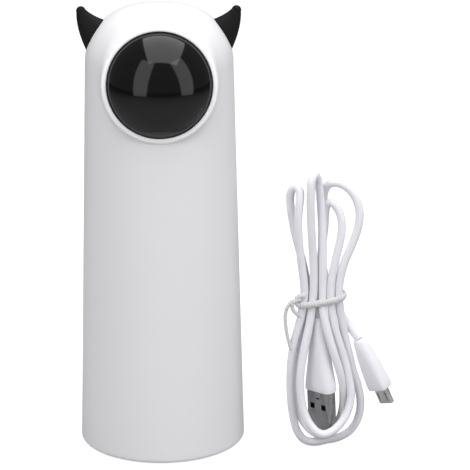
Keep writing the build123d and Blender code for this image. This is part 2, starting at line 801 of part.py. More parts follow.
def power_button():
    flange_front = panel_inside - button_free_play - button_flange_thickness
    cap = disc(button_radius, flange_front, panel_face + button_proud)
    cap = fillet(cap.edges().filter_by(GeomType.CIRCLE).group_by(Axis.Z)[-1], button_edge_round)
    flange = disc(button_flange_radius, flange_front, flange_front + button_flange_thickness)
    stem = disc(button_stem_radius, board_face + plunger_reach, flange_front)
    return rearward(0, button_height) * (cap + flange + stem)


def status_led():
    half_w, half_l = led_width / 2, led_length / 2
    z_span = (lamp_height - half_l, lamp_height + half_l)
    return block((-half_w, half_w), (board_face, board_face + led_thickness), z_span)


def light_pipe():
    start = board_face + led_thickness + seat_gap
    rod = disc(lamp_radius, start, panel_face + lamp_proud)
    flange = disc(lamp_flange_radius, panel_inside - lamp_flange_thickness, panel_inside)
    return rearward(0, lamp_height) * (rod + flange)


# ---- Pan unit ------------------------------------------------------------------------------------
def pan_gearbox():
    plan = upright(pan_pinion_x, pan_pinion_y)
    half_w, half_d = gearbox_width / 2, gearbox_depth / 2
    low, high = deck_height - gearbox_length, deck_height + 1
    body = plan * block((-half_d, half_d), (-half_w, half_w), (low, deck_height))
    body = body - plan * disc(motor_shaft_radius + shaft_gap, low + gearbox_floor, high)
    hole_end = deck_height - motor_screw_grip - screw_end_gap
    for x, y in pan_motor_screw_places():
        body = body - upright(x, y) * disc(motor_screw_radius + screw_gap, hole_end, high)
    return body


def pan_motor_can():
    """A round can with two flats, and the bearing boss on its tail."""
    top = deck_height - gearbox_length
    tail = top - motor_can_length
    can = disc(motor_can_radius, tail, top)
    half = gearbox_depth / 2 - motor_flat_inset
    flats = block((-motor_can_radius, motor_can_radius), (-half, half), (tail, top))
    boss = disc(motor_boss_radius, tail - motor_boss_length, tail)
    return upright(pan_pinion_x, pan_pinion_y) * ((can & flats) + boss)


def pan_motor_screws():
    bolts = []
    length = deck_thickness - motor_head_recess + motor_screw_grip
    for x, y in pan_motor_screw_places():
        place = Pos(x, y, deck_top - motor_head_recess)
        bolts.append(place * screw(length, motor_screw_radius, motor_head_radius, motor_head_height))
    return bolts


def pan_pinion():
    """The motor's output shaft with its pinion, in mesh with the pan gear."""
    root = pinion_pitch - gear_addendum - tooth_root_gap
    face = Rot(0, 0, pan_motor_angle + 180) * gear_face(pinion_teeth, pinion_addendum, root)
    bottom = pan_gear_bottom - pinion_overlap
    wheel = Pos(0, 0, bottom) * extrude(face, pan_gear_thickness + 2 * pinion_overlap)
    shaft_end = deck_height - gearbox_length + gearbox_floor + shaft_end_gap
    shaft = disc(motor_shaft_radius, shaft_end, bottom + pan_gear_thickness)
    return upright(pan_pinion_x, pan_pinion_y) * (wheel + shaft)


def pan_gear():
    """The big gear, its hub in the bush, and the tapped holes for the yoke and the retaining screw."""
    root = pan_pitch - pinion_addendum - tooth_root_gap
    face = Rot(0, 0, pan_motor_angle + 180 / pan_teeth) * gear_face(pan_teeth, gear_addendum, root)
    wheel = Pos(0, 0, pan_gear_bottom) * extrude(face, pan_gear_thickness)
    wheel = wheel + disc(pan_hub_radius, hub_bottom, pan_gear_bottom)
    wheel = wheel + disc(pan_seat_radius, pan_gear_top, yoke_seat)
    hole_end = hub_bottom + pan_screw_length + screw_end_gap
    wheel = wheel - disc(screw_radius + screw_gap, hub_bottom - 1, hole_end)
    hole_end = yoke_floor_top - yoke_screw_length - screw_end_gap
    for y in (-yoke_screw_spread, yoke_screw_spread):
        wheel = wheel - upright(0, y) * disc(screw_radius + screw_gap, hole_end, yoke_seat + 1)
    return upright(0, pan_centre) * wheel


def pan_bush():
    bore = pan_hub_radius + bush_gap
    sleeve = ring(bush_radius, bore, boss_bottom, deck_top)
    return upright(0, pan_centre) * (sleeve + ring(bush_flange_radius, bore, deck_top, bush_flange_top))


def pan_retainer():
    """A washer under the hub and the screw that holds it."""
    washer_bottom = hub_bottom - washer_thickness
    washer = ring(washer_radius, screw_radius + screw_gap, washer_bottom, hub_bottom)
    bolt = Pos(0, 0, washer_bottom) * Rot(180, 0, 0) * screw(washer_thickness + pan_screw_length)
    return upright(0, pan_centre) * washer, upright(0, pan_centre) * bolt


# ---- Tilt unit -----------------------------------------------------------------------------------
def laser_yoke():
    """A floor on the pan gear, two arms for the cradle's pivots, and the tilt motor's saddle."""
    half = arm_outside + yoke_overhang
    half_y = yoke_arm_width / 2
    floor_half = half_y + yoke_floor_margin
    body = block((-half, half), (-floor_half, floor_half), (yoke_seat, yoke_floor_top))
    for side in (-1, 1):
        x_span = sorted((side * yoke_inside, side * arm_outside))
        body = body + block(x_span, (-half_y, half_y), (yoke_seat, tilt_height + yoke_arm_top))
    body = body + saddle_block()
    left_arm = (-half, 1 - yoke_inside)
    right_arm = (yoke_inside - 1, half)
    body = body - sideways(0, tilt_height) * disc(sector_shaft_radius + pivot_gap, *left_arm)
    body = body - sideways(0, tilt_height) * disc(tilt_pin_radius + pivot_gap, *right_arm)
    body = body - sideways(0, tilt_motor_height) * disc(tilt_motor_shaft_radius + shaft_gap, *left_arm)
    for y in (-yoke_screw_spread, yoke_screw_spread):
        body = body - upright(0, y) * disc(screw_radius + screw_gap, yoke_seat - 1, yoke_floor_top + 1)
    return upright(0, pan_centre) * body


def yoke_screws():
    spots = (pan_centre - yoke_screw_spread, pan_centre + yoke_screw_spread)
    return [Pos(0, y, yoke_floor_top) * screw(yoke_screw_length) for y in spots]


saddle_start = saddle_arm_gap - yoke_inside
saddle_span = (saddle_start, saddle_start + saddle_length)
saddle_middle = saddle_start + saddle_length / 2
saddle_half = tilt_motor_radius + strap_thickness + strap_ear
saddle_top = tilt_motor_height - saddle_drop


def saddle_block():
    """The seat under the tilt motor: a block with a round trough, and an ear on each side."""
    bed_half = tilt_motor_radius + saddle_wall
    bed = block(saddle_span, (-bed_half, bed_half), (yoke_floor_top, saddle_top))
    bed = bed + block(saddle_span, (-saddle_half, saddle_half), (saddle_top - saddle_ear_height, saddle_top))
    bed = bed - sideways(0, tilt_motor_height) * disc(tilt_motor_radius, -arm_outside, arm_outside)
    for y in strap_screw_lines():
        hole = disc(motor_screw_radius + screw_gap, yoke_floor_top, saddle_top + 1)
        bed = bed - upright(saddle_middle, y) * hole
    return bed


def strap_screw_lines():
    for side in (-1, 1):
        yield side * (saddle_half - strap_ear / 2)


def tilt_motor():
    tail = tilt_motor_length - yoke_inside
    can = disc(tilt_motor_radius, -yoke_inside, tail)
    shaft_bore = (-yoke_inside - 1, tilt_motor_shaft_bore - yoke_inside)
    boss = disc(tilt_motor_boss_radius, tail, tail + tilt_motor_boss_length)
    can = can - disc(tilt_motor_shaft_radius + shaft_gap, *shaft_bore) + boss
    return sideways(pan_centre, tilt_motor_height) * can


def tilt_motor_strap():
    """A half band over the motor, with an ear on each side."""
    outer = tilt_motor_radius + strap_thickness
    around = sideways(0, tilt_motor_height)
    keep = block(saddle_span, (-outer, outer), (saddle_top, tilt_motor_height + outer))
    strap = around * ring(outer, tilt_motor_radius, *saddle_span) & keep
    band_foot = sqrt(outer**2 - saddle_drop**2)
    for side in (-1, 1):
        y_span = sorted((side * band_foot, side * saddle_half))
        ear = block(saddle_span, y_span, (saddle_top, saddle_top + strap_ear_thickness))
        strap = strap + (ear - around * disc(tilt_motor_radius, *saddle_span))
    for y in strap_screw_lines():
        hole = disc(motor_screw_radius + screw_gap, saddle_top - 1, tilt_motor_height)
        strap = strap - upright(saddle_middle, y) * hole
    return upright(0, pan_centre) * strap


def strap_screws():
    length = strap_ear_thickness + strap_screw_grip
    bolt = screw(length, motor_screw_radius, motor_head_radius, motor_head_height)
    seat = saddle_top + strap_ear_thickness
    return [Pos(saddle_middle, pan_centre + y, seat) * bolt for y in strap_screw_lines()]


def tilt_pinion():
    root = pinion_pitch - gear_addendum - tooth_root_gap
    face = Rot(0, 0, 90) * gear_face(pinion_teeth, pinion_addendum, root)
    wheel = Pos(0, 0, -sector_outer) * extrude(face, sector_thickness)
    shaft_end = tilt_motor_shaft_bore - shaft_end_gap - yoke_inside
    shaft = disc(tilt_motor_shaft_radius, -sector_outer, shaft_end)
    return sideways(pan_centre, tilt_motor_height) * (wheel + shaft)


def tilt_sector():
    """The gear segment under the tilt axis, with its hub and the shaft that turns the cradle."""
    root = sector_pitch - pinion_addendum - tooth_root_gap
    first_tooth = -90 - 360 / sector_teeth * (sector_teeth_kept - 1) / 2
    face = Rot(0, 0, first_tooth) * gear_face(sector_teeth, gear_addendum, root, 0, sector_teeth_kept)
    wheel = Pos(0, 0, -sector_outer) * extrude(face, sector_thickness)
    wheel = wheel + disc(sector_hub_radius, -sector_outer, -sector_inner)
    shaft = disc(sector_shaft_radius, -sector_outer, pivot_depth - cradle_half_width)
    return sideways(pan_centre, tilt_height) * (wheel + shaft)


def tilt_pivot_pin():
    head_start = arm_outside + cradle_side_gap
    head_end = head_start + tilt_pin_head_thickness
    pin = disc(tilt_pin_radius, cradle_half_width - pivot_depth, head_end)
    return sideways(pan_centre, tilt_height) * (pin + disc(tilt_pin_head_radius, head_start, head_end))


def laser_cradle():
    half_l, half_h = cradle_length / 2, cradle_height / 2
    body = block(
        (-cradle_half_width, cradle_half_width),
        (pan_centre - half_l, pan_centre + half_l),
        (tilt_height - half_h, tilt_height + half_h),
    )
    body = fillet(body.edges().filter_by(Axis.X), cradle_edge_round)
    axis = sideways(pan_centre, tilt_height)
    boss_end = yoke_inside - cradle_side_gap
    body = body + axis * disc(cradle_boss_radius, -boss_end, boss_end)
    pocket_end = cradle_half_width - pivot_depth
    body = body - axis * disc(sector_shaft_radius, -boss_end - 1, -pocket_end)
    body = body - axis * disc(tilt_pin_radius, pocket_end, boss_end + 1)
    bore_span = (pan_centre - half_l - 1, pan_centre + half_l + 1)
    return body - rearward(0, tilt_height) * disc(barrel_radius + barrel_gap, *bore_span)


barrel_start = pan_centre - barrel_front
barrel_end = barrel_start + barrel_length


def laser_barrel():
    lens_seat = barrel_start + barrel_mouth_depth
    body = disc(barrel_radius, barrel_start, barrel_end)
    body = body - disc(barrel_mouth_radius, barrel_start - 1, lens_seat)
    body = body - disc(barrel_bore_radius, barrel_start, lens_seat + barrel_bore_depth)
    return rearward(0, tilt_height) * body


def laser_lens():
    start = barrel_start + barrel_mouth_depth - lens_thickness
    return rearward(0, tilt_height) * disc(lens_radius, start, start + lens_thickness)


def driver_board():
    half = driver_width / 2
    return block(
        (-half, half),
        (barrel_end, barrel_end + driver_length),
        (tilt_height - driver_thickness / 2, tilt_height + driver_thickness / 2),
    )


# ---- Charging cable ------------------------------------------------------------------------------
def hank_slab(points, depth):
    face = make_face(Polyline(*points, close=True))
    slab = extrude(Plane.XZ * face, depth / 2, both=True)
    return Pos(0, hank_plane, 0) * slab


def cable_hank():
    """The outer shape of the tied hank: upper loops, a narrow neck and a lower ring round the plug."""
    upper = hank_slab(upper_loop, hank_depth)
    lower = hank_slab(lower_loop, hank_depth) - hank_slab(lower_gap, 2 * hank_depth)
    neck = block(
        (neck_left, neck_right),
        (hank_plane - neck_depth / 2, hank_plane + neck_depth / 2),
        (neck_bottom, neck_top),
    )
    return upper + lower + neck


def plug_frame(seam, top, turn):
    """A plane at a plug's seam: local Z runs to its cord end, and local X lies along its flat side."""
    run = Vector(top[0] - seam[0], 0, top[1] - seam[1])
    upright_plane = Plane(origin=(seam[0], hank_plane, seam[1]), x_dir=(run.Z, 0, -run.X), z_dir=run)
    return upright_plane.location * Rot(0, 0, turn), run.length


def overmould(wide, thick, corner, neck, length):
    """A plug's moulded body, from its full size at the seam to a square neck at the cord."""
    seam_end = RectangleRounded(wide, thick, corner)
    return loft([seam_end, Pos(0, 0, length) * RectangleRounded(neck, neck, neck_corner)])


def usb_plug_body():
    frame, length = plug_frame(usb_seam, usb_top, plug_turn)
    wide = usb_shell_width + 2 * usb_body_margin
    thick = usb_shell_thickness + 2 * usb_body_margin
    return frame * overmould(wide, thick, usb_body_corner, usb_body_neck, length)


def plug_shell(wide, thick, length, wall):
    """A metal shell below a seam: closed at the seam and open at its mouth."""
    shell = extrude(Rectangle(wide, thick), -length)
    hollow = extrude(Rectangle(wide - 2 * wall, thick - 2 * wall), -length)
    return shell - Pos(0, 0, -wall) * hollow


def usb_plug_shell():
    frame, _ = plug_frame(usb_seam, usb_top, plug_turn)
    shell = plug_shell(usb_shell_width, usb_shell_thickness, usb_shell_length, usb_shell_wall)
    z_span = (-usb_window_drop - usb_window / 2, -usb_window_drop + usb_window / 2)
    for side in (-1, 1):
        x_span = (side * usb_window_spread - usb_window / 2, side * usb_window_spread + usb_window / 2)
        shell = shell - block(x_span, (-usb_shell_thickness, usb_shell_thickness), z_span)
    return frame * shell


def usb_plug_tongue():
    frame, _ = plug_frame(usb_seam, usb_top, plug_turn)
    half = usb_shell_width / 2 - usb_shell_wall - usb_tongue_side_gap
    y_high = usb_shell_thickness / 2 - usb_shell_wall
    z_span = (usb_tongue_short - usb_shell_length, -usb_shell_wall)
    return frame * block((-half, half), (y_high - usb_tongue_thickness, y_high), z_span)


def micro_plug_body():
    frame, length = plug_frame(micro_seam, micro_top, plug_turn)
    wide, thick = micro_body_width, micro_body_thickness
    return frame * overmould(wide, thick, micro_body_corner, micro_body_neck, length)


def micro_plug_shell():
    frame, _ = plug_frame(micro_seam, micro_top, plug_turn)
    return frame * plug_shell(micro_shell_width, micro_shell_thickness, micro_shell_length, micro_shell_wall)


def micro_lead_points():
    """From inside the hank's neck to the micro-USB plug, the last run in line with the plug."""
    run = Vector(micro_top[0] - micro_seam[0], 0, micro_top[1] - micro_seam[1]).normalized()
    end = Vector(micro_top[0], hank_plane, micro_top[1])
    last = end + run * micro_lead_last_run
    start = (micro_lead_start[0], hank_plane, micro_lead_start[1])
    bend = (micro_lead_bend[0], hank_plane - micro_lead_forward, micro_lead_bend[1])
    return start, bend, tuple(last), tuple(end)


def usb_lead():
    """The short straight run from the hank's neck into the USB-A plug, in line with the plug."""
    frame, length = plug_frame(usb_seam, usb_top, plug_turn)
    return frame * disc(cord_diameter / 2, length, length + neck_bottom - usb_top[1] + lead_press)


def cable_tie():
    """A flat band round the neck, the twist of its two ends and one long tail."""
    half_y = neck_depth / 2 + tie_gap
    middle = (neck_bottom + neck_top) / 2
    outer = block(
        (neck_left - tie_gap - tie_thickness, neck_right + tie_gap + tie_thickness),
        (hank_plane - half_y - tie_thickness, hank_plane + half_y + tie_thickness),
        (middle - tie_width / 2, middle + tie_width / 2),
    )
    inner = block(
        (neck_left - tie_gap, neck_right + tie_gap),
        (hank_plane - half_y, hank_plane + half_y),
        (middle - tie_width, middle + tie_width),
    )
    left = neck_left - tie_gap - tie_thickness
    knot = block(
        (left - tie_knot_size, left),
        (hank_plane - tie_knot_size / 2, hank_plane + tie_knot_size / 2),
        (middle - tie_knot_size / 2, middle + tie_knot_size / 2),
    )
    tail = block(
        (left - tie_knot_size - tie_thickness, left - tie_knot_size),
        (hank_plane - tie_tail_width / 2, hank_plane + tie_tail_width / 2),
        (middle - tie_tail_length, middle),
    )
    return outer - inner + knot + tail


# ---- Leads inside the tower ----------------------------------------------------------------------
def lead_holes():
    """Holes through the spine, and the cell holder's back, for the leads to the control board."""
    spots = (
        (cell_lead_x, lower_lead_height),
        (-cell_lead_x, upper_lead_height),
        (motor_lead_x, motor_hole_height),
    )
    span = (spine_front - 2 * holder_wall, spine_back + 1)
    return [rearward(x, z) * disc(lead_hole_radius, *span) for x, z in spots]


def inner_lead(points):
    solid, _, _ = tube(points, lead_radius)
    return solid


def cell_lead(side, height, exit_height):
    """From a contact, round the cell in the holder's corner, and back to the control board."""
    corner = spine_front - holder_wall - 2 * lead_radius
    rear = cell_y + contact_width / 4
    start = contact_width / 2
    return inner_lead(
        (
            (side * start, rear, height),
            (side * (start + lead_first_run), rear, height),
            (side * cell_lead_x, corner, height),
            (side * cell_lead_x, corner, exit_height - side * lead_bend),
            (side * cell_lead_x, corner + lead_bend, exit_height),
            (side * cell_lead_x, board_back, exit_height),
        )
    )


def cell_leads():
    low = cell_floor - contact_thickness / 2
    high = cell_top + cell_button_height + contact_thickness / 2
    return cell_lead(1, low, lower_lead_height), cell_lead(-1, high, upper_lead_height)


def motor_lead(shift):
    """From the pan motor's tail, through the spine, to the control board's top edge."""
    tail = deck_height - gearbox_length - motor_can_length
    start_x = pan_pinion_x + motor_lead_offset
    start_y = pan_pinion_y + shift
    end_x = motor_lead_x + shift
    middle = board_back + board_thickness / 2
    return inner_lead(
        (
            (start_x, start_y, tail),
            (start_x, start_y, tail - motor_lead_drop),
            (end_x, spine_front - holder_wall, motor_hole_height + motor_lead_drop),
            (end_x, spine_front, motor_hole_height),
            (end_x, spine_back + 2 * lead_hole_radius, motor_hole_height - lead_hole_radius),
            (end_x, middle, board_top + board_lead_rise),
            (end_x, middle, board_top),
        )
    )


def motor_leads():
    spread = lead_radius + lead_gap
    return motor_lead(-spread), motor_lead(spread)


def build():
    os.makedirs("parts", exist_ok=True)
    outer = tower_body(0, foot_stand)
    inner = tower_body(housing_wall, foot_stand - 1)
    save("main_housing", main_housing(outer, inner))
    save("base_cover", base_cover())
    save("foot_pad", disc(foot_pad_radius, 0, foot_pad_thickness))
    save("base_screws", *cover_screws(base_screw_places(), base_screw_length))
    save("eye_bezel", eye_bezel())
    save("eye_dome", eye_dome())
    right_horn = horn(outer)
    save("horn_left", Rot(0, 0, 180) * right_horn)
    save("horn_right", right_horn)
    save("inner_frame", inner_frame())
    save("frame_screws", *cover_screws(frame_screw_spots, frame_screw_length))
    save("battery_cell", cell())
    save("battery_holder", cell_holder())
    save("battery_contacts", *cell_contacts())
    save("battery_leads", *cell_leads())
    save("control_board", control_board())
    save("board_screws", *board_screws())
    save("board_chips", *board_chips())
    save("charging_socket", charging_socket())
    save("socket_tongue", socket_tongue())
    save("switch_body", switch_body())
    save("switch_plunger", switch_plunger())
    save("power_button", power_button())
    save("status_led", status_led())
    save("light_pipe", light_pipe())
    save("pan_gearbox", pan_gearbox())
    save("pan_motor_can", pan_motor_can())
    save("pan_motor_screws", *pan_motor_screws())
    save("motor_leads", *motor_leads())
    save("pan_pinion", pan_pinion())
    save("pan_gear", pan_gear())
    save("pan_bush", pan_bush())
    save("pan_retainer", *pan_retainer())
    save("laser_yoke", laser_yoke())
    save("tilt_motor", tilt_motor())
    save("yoke_screws", *yoke_screws())
    save("tilt_motor_strap", tilt_motor_strap())
    save("strap_screws", *strap_screws())
    save("tilt_pinion", tilt_pinion())
    save("tilt_sector", tilt_sector())
    save("tilt_pivot_pin", tilt_pivot_pin())
    save("laser_cradle", laser_cradle())
    save("laser_barrel", laser_barrel())
    save("laser_lens", laser_lens())
    save("laser_driver", driver_board())
    save("cable_hank", cable_hank())
    save("usb_lead", usb_lead())
    micro_lead, path, radii = tube(micro_lead_points(), cord_diameter / 2)
    print("micro lead arc radii:", [round(radius, 1) for radius in radii])
    tube_volume = pi * cord_diameter**2 / 4 * path.length
    print("micro lead volume over section times length:", round(micro_lead.volume / tube_volume, 4))
    save("micro_lead", micro_lead)
    save("usb_plug_body", usb_plug_body())
    save("usb_plug_shell", usb_plug_shell())
    save("usb_plug_tongue", usb_plug_tongue())
    save("micro_plug_body", micro_plug_body())
    save("micro_plug_shell", micro_plug_shell())
    save("cable_tie", cable_tie())


if __name__ == "__main__":
    build()
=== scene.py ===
"""Looks of the automatic cat laser toy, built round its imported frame.

Metres, +Z up, the eye faces -Y.
"""
from math import asin, atan2, cos, degrees, hypot, pi, radians, sin, sqrt, tan

import bmesh
import bpy
from mathutils import Matrix, Vector

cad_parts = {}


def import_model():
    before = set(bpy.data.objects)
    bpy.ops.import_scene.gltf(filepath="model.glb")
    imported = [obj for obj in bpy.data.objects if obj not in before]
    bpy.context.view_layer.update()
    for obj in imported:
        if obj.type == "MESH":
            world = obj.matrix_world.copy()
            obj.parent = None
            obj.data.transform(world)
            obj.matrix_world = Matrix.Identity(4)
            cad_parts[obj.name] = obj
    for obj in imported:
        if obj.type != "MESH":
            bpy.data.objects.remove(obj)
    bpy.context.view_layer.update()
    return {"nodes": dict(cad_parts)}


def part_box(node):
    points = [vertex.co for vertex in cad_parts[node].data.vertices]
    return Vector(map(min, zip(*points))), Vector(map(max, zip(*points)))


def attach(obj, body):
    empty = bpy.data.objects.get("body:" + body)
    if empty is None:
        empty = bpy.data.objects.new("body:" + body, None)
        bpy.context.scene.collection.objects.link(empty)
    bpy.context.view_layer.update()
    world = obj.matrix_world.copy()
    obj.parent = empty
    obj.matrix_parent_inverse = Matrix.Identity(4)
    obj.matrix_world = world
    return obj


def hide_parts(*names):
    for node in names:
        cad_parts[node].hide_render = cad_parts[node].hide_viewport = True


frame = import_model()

MM = 0.001


# ---- Shader sums ---------------------------------------------------------------------------------
class Wire:
    """A node's output that works in plain Python sums."""

    def __init__(self, nodes, socket):
        self.nodes = nodes
        self.socket = socket

    def maths(self, operation, *values):
        return self.nodes.node("ShaderNodeMath", {"operation": operation}, values)

    def __add__(self, other):
        return self.maths("ADD", self, other)

    def __sub__(self, other):
        return self.maths("SUBTRACT", self, other)

    def __rsub__(self, other):
        return self.maths("SUBTRACT", other, self)

    def __mul__(self, other):
        return self.maths("MULTIPLY", self, other)

    __radd__ = __add__
    __rmul__ = __mul__


class Nodes:
    """A node tree, and the one way to add to it."""

    def __init__(self, tree):
        self.tree = tree

    def node(self, kind, settings=(), inputs=(), out=0):
        """Adds any node: its settings first, then the values or wires of its sockets."""
        node = self.tree.nodes.new(kind)
        for name, value in dict(settings).items():
            setattr(node, name, value)
        for name, value in inputs.items() if isinstance(inputs, dict) else enumerate(inputs):
            self.feed(node.inputs[name], value)
        return Wire(self, node.outputs[out])

    def feed(self, socket, value):
        if isinstance(value, Wire):
            self.tree.links.new(value.socket, socket)
        else:
            socket.default_value = value


# The Mix node's sockets for colours, by number: those for numbers and vectors share their names.
MIX_SHARE, MIX_ONE, MIX_OTHER, MIX_COLOUR = 0, 6, 7, 2


class Finish(Nodes):
    """A material and its node tree."""

    def __init__(self, name, **constants):
        self.material = bpy.data.materials.new(name)
        self.material.use_nodes = True
        super().__init__(self.material.node_tree)
        self.shader = self.tree.nodes["Principled BSDF"]
        self.paint(**constants)

    def spot(self):
        return self.node("ShaderNodeTexCoord", out="Object")

    def place(self, scale=(1, 1, 1), turn=(0, 0, 0)):
        """Object coordinates, turned and stretched for a pattern."""
        values = {"Vector": self.spot(), "Scale": scale, "Rotation": turn}
        return self.node("ShaderNodeMapping", {}, values)

    def noise(self, scale, detail=2.0, where=None):
        values = {"Vector": where or self.spot(), "Scale": scale, "Detail": detail}
        return self.node("ShaderNodeTexNoise", {}, values)

    def mix(self, share, one, other):
        """A colour between two colours."""
        one, other = [c if isinstance(c, Wire) else (*c, 1) for c in (one, other)]
        values = {MIX_SHARE: share, MIX_ONE: one, MIX_OTHER: other}
        return self.node("ShaderNodeMix", {"data_type": "RGBA"}, values, MIX_COLOUR)

    def ramp(self, value, start, end, low, high):
        """Goes from low to high while a value goes from start to end."""
        values = {"Value": value, "From Min": start, "From Max": end, "To Min": low, "To Max": high}
        return self.node("ShaderNodeMapRange", {}, values)

    def paint(self, **inputs):
        """Gives the shader's sockets their values or wires."""
        for name, value in inputs.items():
            self.feed(self.shader.inputs[name.replace("_", " ")], value)
        return self

    def relief(self, height, depth, strength=1.0):
        values = {"Height": height, "Distance": depth, "Strength": strength}
        return self.paint(Normal=self.node("ShaderNodeBump", {}, values, "Normal"))


# ---- Finishes ------------------------------------------------------------------------------------
def scaled(tone, share):
    return tuple(min(c * share, 1) for c in tone)


def moulded(name, tone, shift, roughness, grain, depth, coat=0.0):
    """Moulded plastic: a very fine skin, and a faint unevenness of tone and gloss."""
    finish = Finish(name, Coat_Weight=coat, Coat_Roughness=0.2)
    cloud = finish.noise(45, 3)
    finish.paint(Base_Color=finish.mix(cloud, scaled(tone, 1 - shift), scaled(tone, 1 + shift)))
    finish.paint(Roughness=cloud * 0.08 + (roughness - 0.04) + finish.noise(grain / 4) * 0.03)
    return finish.relief(finish.noise(grain), depth * MM).material


def smoked_gloss():
    """Polished black plastic, deep and nearly flawless, with faint swirls in its polish."""
    finish = Finish("smoked_gloss", IOR=1.45)
    swirl = finish.noise(60, 4, finish.place((1, 1, 3)))
    finish.paint(Base_Color=finish.mix(swirl, (0.0035, 0.0035, 0.004), (0.005, 0.005, 0.0055)))
    return finish.paint(Roughness=swirl * 0.05 + 0.06).material


def soft_black():
    """Matte black horn plastic with a fine sanded grain."""
    finish = Finish("soft_black", Specular_IOR_Level=0.2)
    grain = finish.noise(1400, 4)
    finish.paint(Base_Color=finish.mix(grain, (0.004, 0.004, 0.0045), (0.009, 0.009, 0.0095)))
    finish.paint(Roughness=grain * 0.2 + 0.5)
    return finish.relief(grain, 0.05 * MM).material


def cord_jacket():
    """Soft white jacket: matt, faintly bluish, with the fine ripple of an extruded skin."""
    finish = Finish("cord_jacket", Specular_IOR_Level=0.15)
    cloud = finish.noise(120, 3)
    finish.paint(Base_Color=finish.mix(cloud, (0.79, 0.785, 0.835), (0.84, 0.835, 0.875)))
    finish.paint(Roughness=cloud * 0.12 + 0.42)
    return finish.relief(finish.noise(2200, 2) + finish.noise(500, 1), 0.02 * MM).material


def brushed_metal(name, tone, streak, roughness):
    """Drawn or plated metal: fine streaks one way, with duller patches from handling."""
    finish = Finish(name, Metallic=1.0)
    lines = finish.noise(260, 4, finish.place(streak))
    haze = finish.noise(90, 3)
    finish.paint(Base_Color=finish.mix(lines, scaled(tone, 0.82), tone))
    finish.paint(Roughness=haze * 0.14 + lines * 0.1 + (roughness - 0.12))
    return finish.relief(lines, 0.01 * MM).material


def board_lacquer():
    """Green solder lacquer with copper tracks showing through as a lighter pattern."""
    finish = Finish("board_lacquer", Coat_Weight=0.4, Coat_Roughness=0.15)
    across = finish.place(turn=(radians(90), 0, 0))
    values = {"Vector": across, "Scale": 180, "Mortar Size": 0.06}
    track = finish.node("ShaderNodeTexBrick", {"offset": 0.5}, values, "Fac")
    finish.paint(Base_Color=finish.mix(track, (0.008, 0.10, 0.04), (0.02, 0.19, 0.08)))
    finish.paint(Roughness=finish.noise(300) * 0.15 + 0.25)
    return finish.relief(track, 0.03 * MM).material


def pad_rubber():
    """Non-slip rubber with rows of small raised dots."""
    finish = Finish("pad_rubber", Specular_IOR_Level=0.3)
    values = {"Scale": 420, "Randomness": 0.0}
    dots = finish.node("ShaderNodeTexVoronoi", {"feature": "SMOOTH_F1"}, values)
    speck = finish.noise(1500, 3)
    finish.paint(Base_Color=finish.mix(speck, (0.012, 0.012, 0.013), (0.03, 0.03, 0.032)))
    finish.paint(Roughness=speck * 0.2 + 0.62)
    return finish.relief(1 - dots, 0.3 * MM, 0.7).material


def clear_lens(name, tone):
    """Moulded clear plastic or glass with a slight tint."""
    finish = Finish(name, Transmission_Weight=0.85, IOR=1.49)
    cloud = finish.noise(220, 2)
    finish.paint(Base_Color=finish.mix(cloud, scaled(tone, 0.94), tone))
    return finish.paint(Roughness=cloud * 0.06 + 0.08).material


# Colour, how uneven it is, roughness, grains to a metre, the grain's depth in millimetres, coat.
WHITE_SHELL = moulded("white_shell", (0.795, 0.793, 0.818), 0.008, 0.40, 700, 0.012)
# The lip is the shell's own white plastic, painted lighter: painted light that its rounded edge
# catches.
PAINTED_LIGHT_LIP = moulded("lip_painted_light", (0.90, 0.898, 0.92), 0.008, 0.30, 900, 0.008, 0.15)
WHITE_PLUG = moulded("white_plug", (0.86, 0.855, 0.90), 0.015, 0.38, 800, 0.02)
WHITE_TIE = moulded("white_tie", (0.66, 0.658, 0.675), 0.03, 0.35, 1400, 0.05)
PALE_BASE = moulded("pale_base", (0.70, 0.70, 0.71), 0.03, 0.55, 600, 0.05)
BUTTON_GREY = moulded("button_grey", (0.36, 0.36, 0.37), 0.03, 0.45, 1000, 0.03)
FRAME_GREY = moulded("frame_grey", (0.17, 0.175, 0.18), 0.08, 0.55, 700, 0.05)
GEAR_NATURAL = moulded("gear_natural", (0.66, 0.65, 0.58), 0.04, 0.42, 900, 0.02)
HOLDER_BLACK = moulded("holder_black", (0.02, 0.02, 0.021), 0.15, 0.5, 800, 0.03)
CELL_WRAP = moulded("cell_wrap", (0.03, 0.14, 0.38), 0.08, 0.22, 300, 0.03, 0.3)
LEAD_RED = moulded("lead_red", (0.42, 0.015, 0.012), 0.06, 0.35, 1500, 0.02)
CHIP_BLACK = moulded("chip_black", (0.018, 0.018, 0.02), 0.2, 0.6, 2500, 0.03)
SMOKED_GLOSS = smoked_gloss()
SOFT_BLACK = soft_black()
CORD_JACKET = cord_jacket()
# Colour, how the streaks are stretched along X, Y and Z, roughness.
PLUG_METAL = brushed_metal("plug_metal", (0.38, 0.375, 0.38), (30, 30, 1), 0.26)
# The micro plug's shell is the same plug metal painted brighter: a painted reflection on its broad
# face.
PAINTED_LIGHT_TIP_METAL = brushed_metal("tip_metal_painted_light", (0.80, 0.80, 0.805), (30, 30, 1), 0.30)
SCREW_STEEL = brushed_metal("screw_steel", (0.55, 0.55, 0.56), (1, 1, 1), 0.35)
MOTOR_STEEL = brushed_metal("motor_steel", (0.50, 0.50, 0.52), (1, 1, 20), 0.30)
NICKEL = brushed_metal("contact_nickel", (0.62, 0.60, 0.55), (20, 1, 1), 0.28)
BRASS = brushed_metal("gearbox_brass", (0.62, 0.45, 0.18), (1, 1, 14), 0.28)
BOARD_LACQUER = board_lacquer()
PAD_RUBBER = pad_rubber()
CLEAR_PIPE = clear_lens("clear_pipe", (0.92, 0.93, 0.95))
RUBY_LENS = clear_lens("ruby_lens", (0.60, 0.08, 0.06))

